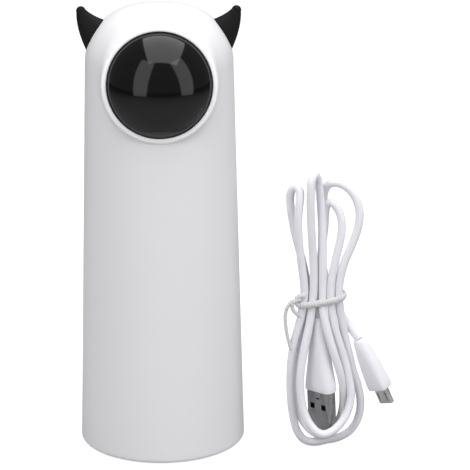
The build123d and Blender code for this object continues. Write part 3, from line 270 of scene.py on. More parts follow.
# The solids that are shown as they are, with their looks.
NODE_FINISHES = {
    "base_cover": PALE_BASE,
    "foot_pad": PAD_RUBBER,
    "base_screws": SCREW_STEEL,
    "inner_frame": FRAME_GREY,
    "frame_screws": SCREW_STEEL,
    "battery_cell": CELL_WRAP,
    "battery_holder": HOLDER_BLACK,
    "battery_contacts": NICKEL,
    "battery_leads": LEAD_RED,
    "control_board": BOARD_LACQUER,
    "board_screws": SCREW_STEEL,
    "board_chips": CHIP_BLACK,
    "charging_socket": PLUG_METAL,
    "socket_tongue": HOLDER_BLACK,
    "switch_body": HOLDER_BLACK,
    "switch_plunger": BUTTON_GREY,
    "power_button": BUTTON_GREY,
    "status_led": CLEAR_PIPE,
    "light_pipe": CLEAR_PIPE,
    "pan_gearbox": BRASS,
    "pan_motor_can": MOTOR_STEEL,
    "pan_motor_screws": SCREW_STEEL,
    "motor_leads": LEAD_RED,
    "pan_pinion": GEAR_NATURAL,
    "pan_gear": GEAR_NATURAL,
    "pan_bush": BRASS,
    "pan_retainer": SCREW_STEEL,
    "laser_yoke": FRAME_GREY,
    "yoke_screws": SCREW_STEEL,
    "tilt_motor": MOTOR_STEEL,
    "tilt_motor_strap": MOTOR_STEEL,
    "strap_screws": SCREW_STEEL,
    "tilt_pinion": GEAR_NATURAL,
    "tilt_sector": GEAR_NATURAL,
    "tilt_pivot_pin": SCREW_STEEL,
    "laser_cradle": FRAME_GREY,
    "laser_barrel": BRASS,
    "laser_lens": RUBY_LENS,
    "laser_driver": BOARD_LACQUER,
    "usb_plug_tongue": HOLDER_BLACK,
}


def dress(thing, material):
    thing.data.materials.clear()
    thing.data.materials.append(material)


def dress_cad_nodes():
    for name, material in NODE_FINISHES.items():
        dress(frame["nodes"][name], material)


# ---- Making pieces -------------------------------------------------------------------------------
WELD = 0.001 * MM         # points that are closer become one


def placed(name, data):
    """A new object in the scene."""
    thing = bpy.data.objects.new(name, data)
    bpy.context.scene.collection.objects.link(thing)
    return thing


def meshed(name, bm):
    """A new object from a bmesh, which is freed."""
    mesh = bpy.data.meshes.new(name)
    bm.to_mesh(mesh)
    bm.free()
    return placed(name, mesh)


def adopted(piece, material, body, slot, *replaced):
    """Gives a piece its look, its body and the solids that it is shown for; its slot is not used.
    """
    dress(piece, material)
    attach(piece, body)
    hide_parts(*replaced)
    return piece


def finished(name, bm, material, body, slot, *replaced):
    """Turns a bmesh into a piece of the object."""
    return adopted(meshed(name, bm), material, body, slot, *replaced)


def cutter(name, bm):
    outward(bm)
    return meshed(name, bm)


def carve(piece, changes, sharp_angle):
    """Adds or cuts away solids in turn, and makes all modifiers part of the piece's mesh."""
    for operation, tool in changes:
        change = piece.modifiers.new(tool.name, "BOOLEAN")
        change.operation = operation
        change.object = tool
        change.solver = "EXACT"
    ready = piece.evaluated_get(bpy.context.evaluated_depsgraph_get())
    mesh = bpy.data.meshes.new_from_object(ready)
    piece.modifiers.clear()
    piece.data = mesh
    for _, tool in changes:
        bpy.data.objects.remove(tool)
    mesh.set_sharp_from_angle(angle=radians(sharp_angle))


def smooth(bm, sharp_angle):
    """Smooth faces with hard edges where the surface turns by more than an angle."""
    for face in bm.faces:
        face.smooth = True
    for edge in bm.edges:
        if len(edge.link_faces) == 2:
            edge.smooth = edge.calc_face_angle(0) < radians(sharp_angle)


def outward(bm):
    """Joins points that coincide and turns the faces outward."""
    bmesh.ops.remove_doubles(bm, verts=bm.verts, dist=WELD)
    bmesh.ops.recalc_face_normals(bm, faces=bm.faces)


def full_turn(count):
    """Evenly spaced angles of one turn."""
    return [2 * pi * i / count for i in range(count)]


def arc(centre, radius, start, end, count):
    """Points on an arc, angles in degrees from the first axis, both ends included."""
    angles = [radians(start + (end - start) * i / (count - 1)) for i in range(count)]
    return [(centre[0] + radius * cos(a), centre[1] + radius * sin(a)) for a in angles]


def turned(outline, steps, closed):
    """A solid of revolution about local Z from (radius, height) points."""
    bm = bmesh.new()
    verts = [bm.verts.new((radius, 0, height)) for radius, height in outline]
    pairs = list(zip(verts, verts[1:])) + ([(verts[-1], verts[0])] if closed else [])
    edges = [bm.edges.new(pair) for pair in pairs]
    bmesh.ops.spin(
        bm, geom=verts + edges, cent=(0, 0, 0), axis=(0, 0, 1), dvec=(0, 0, 0),
        angle=2 * pi, steps=steps, use_merge=True, use_duplicate=False,
    )
    outward(bm)
    return bm


def skin(rings, cap_ends=False):
    """A surface over a row of loops that have as many points each.

    It is grown from the first loop by extruding.
    """
    bm = bmesh.new()
    row = [bm.verts.new(point) for point in rings[0]]
    edges = [bm.edges.new(pair) for pair in zip(row, row[1:] + row[:1])]
    ends = [edges]
    for points in rings[1:]:
        grown = bmesh.ops.extrude_edge_only(bm, edges=edges)["geom"]
        fresh = {part for part in grown if isinstance(part, bmesh.types.BMVert)}
        edges = [part for part in grown if isinstance(part, bmesh.types.BMEdge)]
        edges = [edge for edge in edges if fresh.issuperset(edge.verts)]
        row = [next(e.other_vert(v) for e in v.link_edges if e.other_vert(v) in fresh) for v in row]
        for vert, point in zip(row, points):
            vert.co = point
    ends.append(edges)
    if cap_ends:
        for loop in ends:
            bmesh.ops.edgeloop_fill(bm, edges=loop)
    outward(bm)
    return bm


# ---- The eye's own axes --------------------------------------------------------------------------
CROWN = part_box("main_housing")[1].z
EYE_TILT = radians(14)
EYE_CENTRE = Vector((0, -25.7 * MM, CROWN - 26.9 * MM))
EYE_OUT = Vector((0, -cos(EYE_TILT), sin(EYE_TILT)))
EYE_UP = Vector((0, sin(EYE_TILT), cos(EYE_TILT)))
EYE_AXES = Matrix.Translation(EYE_CENTRE) @ Matrix((
    (1, 0, 0, 0),
    (0, EYE_UP.y, EYE_OUT.y, 0),
    (0, EYE_UP.z, EYE_OUT.z, 0),
    (0, 0, 0, 1),
))
FACE_TURNS = 160          # points round the eye, the lip and the housing


def eye_point(radius, turn, height):
    """A point at a radius, an angle from the right and a height along the eye's axis."""
    return EYE_AXES @ Vector((radius * cos(turn), radius * sin(turn), height))


# ---- Housing: its surface ------------------------------------------------------------------------
BASE_RADIUS = 33.5 * MM
LEAN = radians(1.58)
SHOULDER = 23 * MM
CROWN_ARC = 68 * MM
COLLAR_RADIUS = 22.55 * MM
COLLAR_FACE = -2.2 * MM
COLLAR_BACK = -34 * MM    # deep inside the head
BLEND_TOP = 9 * MM        # how widely the collar flows into the head over the eye
BLEND_LOW = 1.2 * MM      # and under it
BROW_CUT = -0.35 * MM     # the head is flush with the lip above the eye
BROW_ROUND = 7 * MM       # how widely that cut is rounded over the eye
BROW_EDGE = 0.2 * MM      # and at least, all round

CROWN_CENTRE = CROWN - CROWN_ARC


def side_radius(height):
    return BASE_RADIUS - tan(LEAN) * height


def shoulder_centre():
    """Radius and height of the shoulder arc's centre, touching the side and the crown."""
    slope = tan(LEAN)
    start = BASE_RADIUS - SHOULDER / cos(LEAN)
    reach = CROWN_ARC - SHOULDER
    a = 1 + slope**2
    b = -2 * (start * slope + CROWN_CENTRE)
    c = start**2 + CROWN_CENTRE**2 - reach**2
    height = (-b + sqrt(b * b - 4 * a * c)) / (2 * a)
    return start - slope * height, height


SHOULDER_R, SHOULDER_Z = shoulder_centre()
CROWN_TOUCH = atan2(SHOULDER_Z - CROWN_CENTRE, SHOULDER_R)


def tower_distance(point):
    """How far a point lies outside the plain tower."""
    radius = hypot(point.x, point.y)
    away = atan2(point.z - SHOULDER_Z, radius - SHOULDER_R)
    if point.z < SHOULDER_Z + SHOULDER * sin(LEAN) or away < LEAN:
        return (radius - BASE_RADIUS + tan(LEAN) * point.z) * cos(LEAN)
    if atan2(point.z - CROWN_CENTRE, radius) > CROWN_TOUCH:
        return hypot(radius, point.z - CROWN_CENTRE) - CROWN_ARC
    return hypot(radius - SHOULDER_R, point.z - SHOULDER_Z) - SHOULDER


def easing(one, other, width):
    """How far the corner between two surfaces is rounded where their distances are alike."""
    near = max(width - abs(one - other), 0) / width
    return near * near * width / 4


def housing_distance(point):
    """How far a point lies outside the tower with the eye's collar flowing into it."""
    local = EYE_AXES.inverted() @ point
    around = hypot(local.x, local.y)
    collar = max(around - COLLAR_RADIUS, local.z - COLLAR_FACE, COLLAR_BACK - local.z)
    tower = tower_distance(point)
    over = (0.5 + 0.5 * local.y / max(around, MM)) ** 3    # from 0 under the eye to 1 above it
    width = BLEND_LOW + (BLEND_TOP - BLEND_LOW) * over
    head = min(tower, collar) - easing(tower, collar, width)
    brow = local.z - BROW_CUT
    return max(head, brow) + easing(head, brow, BROW_EDGE + BROW_ROUND * over)


RAY_REACH, RAY_STEP = 90 * MM, 1.5 * MM
RAY_HALVINGS = 18         # of the step in which a ray leaves the housing
SLOPE_PROBE = 0.05 * MM


def surface_from(inside, direction, reach=RAY_REACH, step=RAY_STEP):
    """The first point on the housing's surface along a ray from inside it."""
    travel = 0.0
    while travel < reach and housing_distance(inside + direction * (travel + step)) < 0:
        travel += step
    low, high = travel, travel + step
    for _ in range(RAY_HALVINGS):
        middle = (low + high) / 2
        if housing_distance(inside + direction * middle) < 0:
            low = middle
        else:
            high = middle
    return inside + direction * low


def slope_at(point):
    """The outward direction of the housing's surface near a point."""
    here = housing_distance(point)
    axes = ((1, 0, 0), (0, 1, 0), (0, 0, 1))
    parts = [housing_distance(point + Vector(axis) * SLOPE_PROBE) - here for axis in axes]
    return Vector(parts).normalized()


# ---- Housing: its loops --------------------------------------------------------------------------
WALL = 2.2 * MM
FOOT = 0.6 * MM
RIM_ROUND = 1.2 * MM
LIP_SEAT = 22.0 * MM      # inner edge of the housing, under the bezel's lip
LIP_START = -6 * MM       # the lip's rays start here, inside the collar
LIP_REACH, LIP_STEP = 20 * MM, 0.25 * MM
LIP_SHARES = (0.12, 0.3, 0.5, 0.75)    # loops on the way from the lip to the elbow
LIP_SETTLING = 4          # steps that bring such a loop's points to the surface
ELBOW_START = 0.5 * MM    # behind the collar's face
ELBOW_HEIGHT = 116 * MM   # below this the housing's loops are level
ELBOW_LOOPS = 54
ELBOW_FIRST = 2           # the loops before this one would crowd the collar's edge
LEVEL_STEP = 2.4 * MM
LEVEL_END = 3 * MM        # how close to the foot's rounding the last level loop may start


def lip_loop():
    """The housing's edge round the bezel.

    It lies on the collar's face, or on the tower where that is further out.
    """
    starts = [eye_point(LIP_SEAT, turn, LIP_START) for turn in full_turn(FACE_TURNS)]
    return [surface_from(start, EYE_OUT, LIP_REACH, LIP_STEP) for start in starts]


def elbow_loops():
    """Loops in planes that turn about one line, from just behind the eye's face to level."""
    face = EYE_CENTRE + EYE_OUT * (COLLAR_FACE - ELBOW_START)
    pivot = Vector((0, face.y + tan(EYE_TILT) * (ELBOW_HEIGHT - face.z), ELBOW_HEIGHT))
    first = (face - pivot).length
    last = -pivot.y
    loops = []
    for k in range(ELBOW_FIRST, ELBOW_LOOPS + 1):
        share = k / ELBOW_LOOPS
        lift = (pi / 2 - EYE_TILT) * (1 - share)
        up = Vector((0, cos(lift), sin(lift)))
        centre = pivot + up * (first + (last - first) * share)
        loop = []
        for turn in full_turn(FACE_TURNS):
            loop.append(surface_from(centre, Vector((cos(turn), 0, 0)) + up * sin(turn)))
        loops.append(loop)
    return loops


def level_loop(radius, height):
    turns = full_turn(FACE_TURNS)
    return [Vector((radius * cos(turn), radius * sin(turn), height)) for turn in turns]


def housing_rings():
    """The housing's loops, from the lip round the elbow and down to the foot."""
    lip = lip_loop()
    elbow = elbow_loops()
    rings = [lip]
    for share in LIP_SHARES:
        ring = [a.lerp(b, share) for a, b in zip(lip, elbow[0])]
        for _ in range(LIP_SETTLING):
            ring = [point - slope_at(point) * housing_distance(point) for point in ring]
        rings.append(ring)
    rings += elbow
    height = ELBOW_HEIGHT
    while height > FOOT + RIM_ROUND + LEVEL_END:
        height -= LEVEL_STEP
        rings.append(level_loop(side_radius(height), height))
    centre = (side_radius(FOOT) - RIM_ROUND, FOOT + RIM_ROUND)
    rings += [level_loop(radius, z) for radius, z in arc(centre, RIM_ROUND, 0, -90, count=6)]
    return rings


# ---- Housing: its rear panel ---------------------------------------------------------------------
PANEL_HALF = 12 * MM
PANEL_LOW = 7.5 * MM
PANEL_HIGH = 48 * MM
PANEL_FACE = 31 * MM
PANEL_CORNER = 3 * MM
CUT_FROM = PANEL_FACE - 6 * MM         # inside the wall
CUT_TO = BASE_RADIUS + 2 * MM          # outside it
BUTTON_HOLE = 4.7 * MM
LAMP_HOLE = 1.56 * MM
HOLE_TURNS = 64
SOCKET_GAP = 0.4 * MM
SOCKET_CORNER = 1.2 * MM
# X and Y of the corners of the thicker wall behind the panel, in millimetres.
BACKING = ((-13, 28.6), (13, 28.6), (13, 29.2), (7, 31.1), (0, 31.9), (-7, 31.1), (-13, 29.2))
BACKING_LOW = 6 * MM
BACKING_HEIGHT = 43.5 * MM


def rounded_box(low, high, corner, segments=6):
    """A box whose edges along Y are rounded."""
    bm = bmesh.new()
    bmesh.ops.create_cube(bm, size=1)
    bmesh.ops.scale(bm, vec=Vector(high) - Vector(low), verts=bm.verts)
    bmesh.ops.translate(bm, vec=(Vector(low) + Vector(high)) / 2, verts=bm.verts)
    along = [edge for edge in bm.edges if edge.verts[0].co.y != edge.verts[1].co.y]
    bmesh.ops.bevel(
        bm, geom=along, offset=corner, segments=segments, profile=0.5, affect="EDGES", material=-1,
    )
    return bm


def round_bar(radius, height):
    """A round bar along Y that goes through the panel."""
    bm = bmesh.new()
    bmesh.ops.create_cone(
        bm, cap_ends=True, segments=HOLE_TURNS, radius1=radius, radius2=radius,
        depth=CUT_TO - CUT_FROM,
    )
    bmesh.ops.rotate(bm, verts=bm.verts, cent=(0, 0, 0), matrix=Matrix.Rotation(pi / 2, 3, "X"))
    bmesh.ops.translate(bm, vec=(0, (CUT_FROM + CUT_TO) / 2, height), verts=bm.verts)
    return bm


def middle_height(node):
    low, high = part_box(node)
    return (low.z + high.z) / 2


def panel_cutters():
    """The flat at the back and its three holes, from the pieces that sit in them."""
    low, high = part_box("charging_socket")
    half_w = (high.x - low.x) / 2 + SOCKET_GAP
    half_t = (high.z - low.z) / 2 + SOCKET_GAP
    socket_z = middle_height("charging_socket")
    flat = ((-PANEL_HALF, PANEL_FACE, PANEL_LOW), (PANEL_HALF, CUT_TO, PANEL_HIGH))
    slot = ((-half_w, CUT_FROM, socket_z - half_t), (half_w, CUT_TO, socket_z + half_t))
    return [
        cutter("panel_flat", rounded_box(*flat, PANEL_CORNER)),
        cutter("button_hole", round_bar(BUTTON_HOLE, middle_height("power_button"))),
        cutter("lamp_hole", round_bar(LAMP_HOLE, middle_height("light_pipe"))),
        cutter("socket_slot", rounded_box(*slot, SOCKET_CORNER)),
    ]


def panel_backing():
    """The thicker wall behind the flat panel."""
    bm = bmesh.new()
    face = bm.faces.new([bm.verts.new((x * MM, y * MM, BACKING_LOW)) for x, y in BACKING])
    grown = bmesh.ops.extrude_face_region(bm, geom=[face])["geom"]
    raised = [part for part in grown if isinstance(part, bmesh.types.BMVert)]
    bmesh.ops.translate(bm, vec=(0, 0, BACKING_HEIGHT), verts=raised)
    return cutter("panel_backing", bm)


def housing():
    """The tower's one-piece shell: a skin with a wall, then the panel's backing and its cuts."""
    bm = skin(housing_rings())
    smooth(bm, sharp_angle=40)
    piece = finished("housing_shell", bm, WHITE_SHELL, "tower", "white_shell", "main_housing")
    wall = piece.modifiers.new("wall", "SOLIDIFY")
    wall.thickness = WALL
    wall.offset = -1
    changes = [("UNION", panel_backing())]
    changes += [("DIFFERENCE", tool) for tool in panel_cutters()]
    carve(piece, changes, sharp_angle=32)


# ---- Bezel and dome, along the eye's axis --------------------------------------------------------
OPENING = 20.45 * MM
LIP_OUTER = 22.5 * MM
LIP_ROUND = 1.25 * MM     # of the lip's outer edge
OPENING_ROUND = 0.45 * MM
LIP_BACK = -2.15 * MM
SKIRT_BACK = -3.9 * MM
SKIRT_WALL = 0.6 * MM
DOME_RIM = 20.25 * MM
DOME_RADIUS = 22.5 * MM
DOME_WALL = 1.5 * MM
DOME_NECK = -0.5 * MM     # the sphere ends here and the straight neck starts
FLANGE_FRONT = -3.9 * MM
FLANGE_BACK = -5.2 * MM
FLANGE_WIDE = 0.7 * MM


def bezel():
    """The white lip: a rounded ring with a skirt that goes into the collar."""
    outline = arc((LIP_OUTER - LIP_ROUND, -LIP_ROUND), LIP_ROUND, 0, 90, count=9)
    outline += arc((OPENING + OPENING_ROUND, -OPENING_ROUND), OPENING_ROUND, 90, 180, count=6)
    outline += [(OPENING, SKIRT_BACK), (OPENING + SKIRT_WALL, SKIRT_BACK)]
    outline += [(OPENING + SKIRT_WALL, LIP_BACK), (LIP_OUTER, LIP_BACK)]
    bm = turned(outline, FACE_TURNS, closed=True)
    smooth(bm, sharp_angle=50)
    bm.transform(EYE_AXES)
    # The lip's material is painted lighter than the shell, for the light the lip catches.
    finished("eye_lip", bm, PAINTED_LIGHT_LIP, "tower", "white_shell", "eye_bezel")


def dome():
    """A shell of a sphere on a short neck, with the flange that holds it behind the lip."""
    inner = DOME_RADIUS - DOME_WALL
    drop = sqrt(DOME_RADIUS**2 - DOME_RIM**2)
    centre = (0, DOME_NECK - drop)
    outside = arc(centre, DOME_RADIUS, 90, degrees(asin(drop / DOME_RADIUS)), count=40)
    inside = arc(centre, inner, degrees(asin(drop / inner)), 90, count=24)
    outside[0] = (0, outside[0][1])    # exactly on the axis
    inside[-1] = (0, inside[-1][1])
    outline = outside + [(DOME_RIM, FLANGE_FRONT), (DOME_RIM + FLANGE_WIDE, FLANGE_FRONT)]
    outline += [(DOME_RIM + FLANGE_WIDE, FLANGE_BACK), (DOME_RIM - DOME_WALL, FLANGE_BACK)]
    bm = turned(outline + inside, FACE_TURNS, closed=False)
    smooth(bm, sharp_angle=40)
    bm.transform(EYE_AXES)
    finished("smoked_dome", bm, SMOKED_GLOSS, "tower", "smoked_dome", "eye_dome")


# ---- Horns ---------------------------------------------------------------------------------------
# X and Z of a horn's upper and outer edges from inside the head to the tip, in millimetres.
HORN_UPPER = ((15.5, 171.9), (24.5, 174.0), (28.5, 177.8))
HORN_OUTER = ((26.2, 157.0), (32.4, 168.3), (32.1, 176.6))
HORN_DEEP = 6.0 * MM      # half the root's depth
HORN_TIP_DEEP = 1.5 * MM
HORN_TAPER = 1.1          # 1 would narrow the depth evenly
HORN_STEPS = 28
HORN_TURNS = 64
HORN_TIP_ANGLES = (15, 30, 45, 60, 75, 86)    # the loops that round the tip


def bent(points, t):
    """A point on the parabola that three points give."""
    x, z = [a * (1 - t) ** 2 + b * 2 * t * (1 - t) + c * t * t for a, b, c in zip(*points)]
    return Vector((x * MM, 0, z * MM))


def horn_ring(centre, across, deep):
    turns = full_turn(HORN_TURNS)
    return [centre + across * cos(turn) + Vector((0, deep * sin(turn), 0)) for turn in turns]


def horn(side):
    """A curved spike that narrows to a round tip, rooted in the head."""
    rings = []
    for i in range(HORN_STEPS + 1):
        t = i / HORN_STEPS
        upper, outer = bent(HORN_UPPER, t), bent(HORN_OUTER, t)
        across = (outer - upper) / 2
        deep = HORN_TIP_DEEP + (HORN_DEEP - HORN_TIP_DEEP) * (1 - t) ** HORN_TAPER
        rings.append(horn_ring((upper + outer) / 2, across, deep))
    ahead = Vector((-across.z, 0, across.x))
    for turn in map(radians, HORN_TIP_ANGLES):
        centre = (upper + outer) / 2 + ahead * sin(turn)
        rings.append(horn_ring(centre, across * cos(turn), deep * cos(turn)))
    bm = skin(rings, cap_ends=True)
    if side < 0:
        bmesh.ops.scale(bm, vec=(-1, 1, 1), verts=bm.verts)
        bmesh.ops.recalc_face_normals(bm, faces=bm.faces)
    smooth(bm, sharp_angle=50)
    name = "right" if side > 0 else "left"
    finished("horn_spike_" + name, bm, SOFT_BLACK, "tower", "horn_black", "horn_" + name)


# ---- Charging cable ------------------------------------------------------------------------------
CORD = 3.3 * MM
CORD_RESOLUTION = 10
CORD_ROUNDNESS = 5
HANK_PLANE = -17.8 * MM
PLUG_TURN = radians(-45)
# X and Z of each plug's seam and of the cord's end in it, in millimetres.
USB_PLUG = ((63.8, 25.2), (62.2, 56.6))
MICRO_PLUG = ((87.9, 25.8), (78.7, 46.8))

# X, depth behind the hank's middle plane and Z of the cord's route, in millimetres.
USB_RUN = (
    (62.20, 0.00, 56.60), (62.07, 0.67, 60.66), (62.54, 1.86, 63.90), (62.88, 1.98, 70.20),
)
THIRD_TOP_LOOP = (
    (63.17, 2.39, 78.45), (64.11, 3.02, 87.59), (64.79, 3.31, 93.99), (64.81, 3.32, 99.41),
    (65.58, 2.93, 102.75), (67.69, 2.00, 103.27), (70.02, 1.10, 100.32), (71.17, 0.30, 96.72),
    (71.35, -0.41, 92.14), (70.32, -0.90, 86.74), (68.85, -1.31, 80.49), (67.44, -1.60, 73.36),
    (66.95, -1.91, 68.54),
)
SECOND_LOW_LOOP = (
    (67.03, -2.09, 64.54), (67.60, -2.41, 59.15), (68.60, -2.61, 52.84), (70.47, -2.61, 46.51),
    (72.71, -2.39, 39.61), (74.59, -2.38, 32.28), (75.85, -2.78, 25.50), (75.34, -3.58, 20.27),
    (73.69, -4.78, 15.78), (70.99, -6.41, 12.45), (67.84, -7.85, 10.13), (64.38, -8.24, 8.87),
    (61.05, -7.64, 10.35), (58.19, -6.17, 13.97), (56.27, -5.17, 18.81), (55.40, -4.80, 24.05),
    (54.99, -4.59, 29.53), (55.21, -4.62, 35.51), (56.17, -4.21, 41.75), (57.36, -3.50, 47.83),
    (58.64, -2.80, 53.84), (59.63, -2.18, 60.52), (60.01, -1.90, 64.93),
)
SECOND_TOP_LOOP = (
    (60.32, -1.68, 69.15), (60.13, -1.88, 78.69), (59.40, -2.59, 87.98), (58.76, -3.51, 96.90),
    (58.47, -4.23, 104.88), (58.49, -4.23, 111.04), (58.87, -3.45, 114.08), (60.19, -1.63, 116.05),
    (61.69, 0.69, 113.47), (62.28, 1.24, 109.44), (62.88, 0.82, 103.40), (63.38, -0.00, 95.81),
    (63.74, -0.81, 87.39), (63.84, -1.42, 78.47), (63.83, -1.70, 69.58),
)
THIRD_LOW_LOOP = (
    (63.83, -2.06, 64.93), (63.84, -3.20, 60.36), (65.20, -4.33, 53.91), (67.02, -4.82, 47.31),
    (68.86, -4.84, 40.91), (70.70, -4.04, 35.11), (72.33, -2.41, 28.94), (72.98, -0.58, 22.15),
    (72.72, 0.84, 16.00), (71.20, 1.43, 10.28), (68.75, 1.24, 6.29), (64.88, 0.32, 5.04),
    (61.00, 0.97, 6.15), (57.33, 2.25, 9.70), (54.96, 2.60, 14.81), (53.79, 2.81, 21.12),
    (53.66, 2.81, 28.01), (54.40, 2.60, 35.82), (55.71, 2.41, 44.44), (56.98, 2.10, 53.51),
    (57.97, 1.88, 61.68),
)
FIRST_TOP_LOOP = (
    (57.92, 2.00, 67.68), (56.65, 2.20, 76.16), (54.46, 2.41, 84.47), (52.57, 2.50, 91.86),
    (51.33, 2.52, 98.95), (50.80, 2.21, 104.37), (51.00, 1.62, 108.02), (52.71, 0.53, 110.29),
    (54.51, -1.21, 109.29), (54.61, -2.73, 106.33), (54.00, -3.53, 102.47), (53.71, -3.72, 97.46),
    (53.94, -3.41, 90.80), (54.77, -2.81, 82.74), (55.92, -2.08, 74.46),
)
FIRST_LOW_LOOP = (
    (56.59, -1.79, 69.07), (56.56, -1.69, 64.44), (55.90, -1.71, 59.99), (54.42, -1.61, 53.06),
    (52.77, -1.40, 46.71), (51.70, -1.21, 40.31), (51.36, -0.91, 33.34), (51.30, -0.49, 26.33),
    (51.78, -0.21, 19.29), (52.75, 0.20, 12.57), (54.24, 0.60, 7.16), (56.85, 1.00, 3.32),
    (60.10, 1.40, 2.03), (63.41, 1.81, 2.12), (66.52, 2.10, 2.69), (69.54, 2.31, 3.04),
    (72.78, 2.31, 4.10), (76.31, 2.10, 6.57), (78.83, 1.81, 10.68), (80.10, 1.40, 16.09),
    (79.87, 0.99, 21.87), (78.42, 0.79, 28.08), (76.50, 0.81, 33.60), (74.97, 0.62, 40.12),
    (73.16, 0.02, 47.64), (71.69, -0.91, 55.22), (70.65, -1.63, 61.76),
)
FOURTH_TOP_LOOP = (
    (70.25, -1.81, 67.68), (70.78, -1.70, 73.48), (72.21, -1.50, 79.22), (74.57, -1.20, 84.87),
    (77.01, -0.80, 90.91), (78.43, -0.31, 97.38), (77.67, 0.40, 103.16), (74.96, 1.20, 108.09),
    (70.90, 1.98, 110.96), (67.06, 3.19, 111.06), (64.93, 4.61, 108.71), (64.24, 5.82, 104.41),
    (64.21, 6.62, 98.87), (64.03, 6.92, 91.32), (63.92, 6.65, 82.17), (64.63, 5.40, 73.27),
)
MICRO_RUN = (
    (66.60, 4.16, 66.06), (68.93, 3.62, 60.82), (71.84, 2.80, 56.18), (75.02, 1.85, 51.48),
    (78.70, 0.00, 46.80),
)

CORD_ROUTE = (
    USB_RUN + THIRD_TOP_LOOP + SECOND_LOW_LOOP + SECOND_TOP_LOOP + THIRD_LOW_LOOP
    + FIRST_TOP_LOOP + FIRST_LOW_LOOP + FOURTH_TOP_LOOP + MICRO_RUN
)


def route_point(x, depth, z):
    return Vector((x * MM, HANK_PLANE + depth * MM, z * MM))


def smooth_curve(name, route, resolution, closed=False):
    """One smooth spline near the points of a route, without thickness."""
    curve = bpy.data.curves.new(name, "CURVE")
    curve.dimensions = "3D"
    spline = curve.splines.new("NURBS")
    spline.points.add(len(route) - 1)
    for control, point in zip(spline.points, route):
        control.co = (*route_point(*point), 1)
    spline.order_u = 3
    spline.use_endpoint_u = not closed
    spline.use_cyclic_u = closed
    curve.resolution_u = resolution
    return curve


def line_of(curve):
    """The points of the line that a curve without thickness gives."""
    holder = bpy.data.objects.new("line", curve)
    mesh = bpy.data.meshes.new_from_object(holder)
    points = [v.co.copy() for v in mesh.vertices]
    bpy.data.objects.remove(holder)
    bpy.data.meshes.remove(mesh)
    return points


def cord_piece():
    """The whole cable as one tube along its route, and its length."""
    curve = smooth_curve("charging_cord", CORD_ROUTE, CORD_RESOLUTION)
    line = line_of(curve)
    curve.bevel_depth = CORD / 2
    curve.bevel_resolution = CORD_ROUNDNESS
    curve.use_fill_caps = True
    piece = placed("charging_cord", curve)
    adopted(piece, CORD_JACKET, "tower", "cable_white", "cable_hank", "usb_lead", "micro_lead")
    return piece, sum((a - b).length for a, b in zip(line, line[1:]))


def plug_axes(plug):
    """Local Z runs from the seam to the cord's end, and local X along the plug's flat side."""
    start, end = [route_point(x, 0, z) for x, z in plug]
    along = (end - start).normalized()
    side = Vector((along.z, 0, -along.x))
    axes = Matrix((side, along.cross(side), along)).transposed().to_4x4()
    turn = Matrix.Rotation(PLUG_TURN, 4, "Z")
    return Matrix.Translation(start) @ axes @ turn, (end - start).length


def rounded_ring(half_w, half_t, corner, height, segments=6):
    """A rectangle with round corners, at a height."""
    ring = []
    for quarter, (sx, sy) in enumerate(((1, 1), (-1, 1), (-1, -1), (1, -1))):
        centre = (sx * (half_w - corner), sy * (half_t - corner))
        for x, y in arc(centre, corner, 90 * quarter, 90 * quarter + 90, segments):
            ring.append(Vector((x, y, height)))
    return ring


def overmould(name, plug, stations, replaced):
    """A moulded plug body over the loops of its stations, from the seam to the cord's end."""
    axes, length = plug_axes(plug)
    rings = []
    for share, *sizes in stations:
        sizes = [size * MM for size in sizes]
        rings.append(rounded_ring(*sizes, share * length, segments=8))
    bm = skin(rings, cap_ends=True)
    smooth(bm, sharp_angle=40)
    bm.transform(axes)
    return finished(name, bm, WHITE_PLUG, "tower", "plug_white", replaced)


# Share of the length from the seam, half width, half thickness and corner radius, in millimetres.
USB_STATIONS = (
    (0.0, 6.4, 2.95, 2.0),
    (0.006, 6.75, 3.3, 2.4),
    (0.018, 6.85, 3.45, 2.6),
    (0.10, 6.6, 3.5, 2.8),
    (0.30, 5.7, 3.4, 3.1),
    (0.50, 4.8, 3.2, 3.05),
    (0.70, 3.8, 2.9, 2.8),
    (0.86, 3.0, 2.5, 2.45),
    (0.96, 2.4, 2.25, 2.2),
    (0.99, 2.0, 1.95, 1.92),
    (1.0, 1.75, 1.75, 1.7),
)
MICRO_STATIONS = (
    (0.0, 4.2, 2.7, 1.1),
    (0.01, 4.5, 3.0, 1.3),
    (0.03, 4.65, 3.15, 1.4),
    (0.16, 4.72, 3.2, 1.7),
    (0.40, 4.6, 3.15, 2.3),
    (0.65, 4.0, 2.95, 2.6),
    (0.85, 3.2, 2.75, 2.6),
    (0.96, 2.7, 2.5, 2.4),
    (0.985, 2.4, 2.3, 2.25),
    (1.0, 2.0, 2.0, 1.95),
)

# Half width, half thickness, corner radius, length, wall and turned-in edge, in millimetres.
USB_SHELL = (6.0, 2.25, 0.85, 17.6, 0.4, 0.5)
MICRO_SHELL = (3.425, 0.925, 0.4, 7.0, 0.3, 0.3)
# A window's middle and half width across, its far and near ends, its corner radius, in
# millimetres, and whether it goes through both broad sides or through the first only.
USB_WINDOWS = (
    (-2.9, 1.1, -7.7, -5.4, 0.3, True),
    (2.9, 1.1, -7.7, -5.4, 0.3, True),
    (0.0, 0.8, -3.4, -2.8, 0.2, False),
)
MICRO_WINDOWS = (
    (-2.0, 0.28, -5.6, -1.6, 0.12, False),
    (2.0, 0.28, -5.6, -1.6, 0.12, False),
)
EDGE_DROP = 0.35          # how far the turned-in edge drops, as a share of its length
INNER_ROUND = 0.6         # how much of the wall comes off the corner radius inside


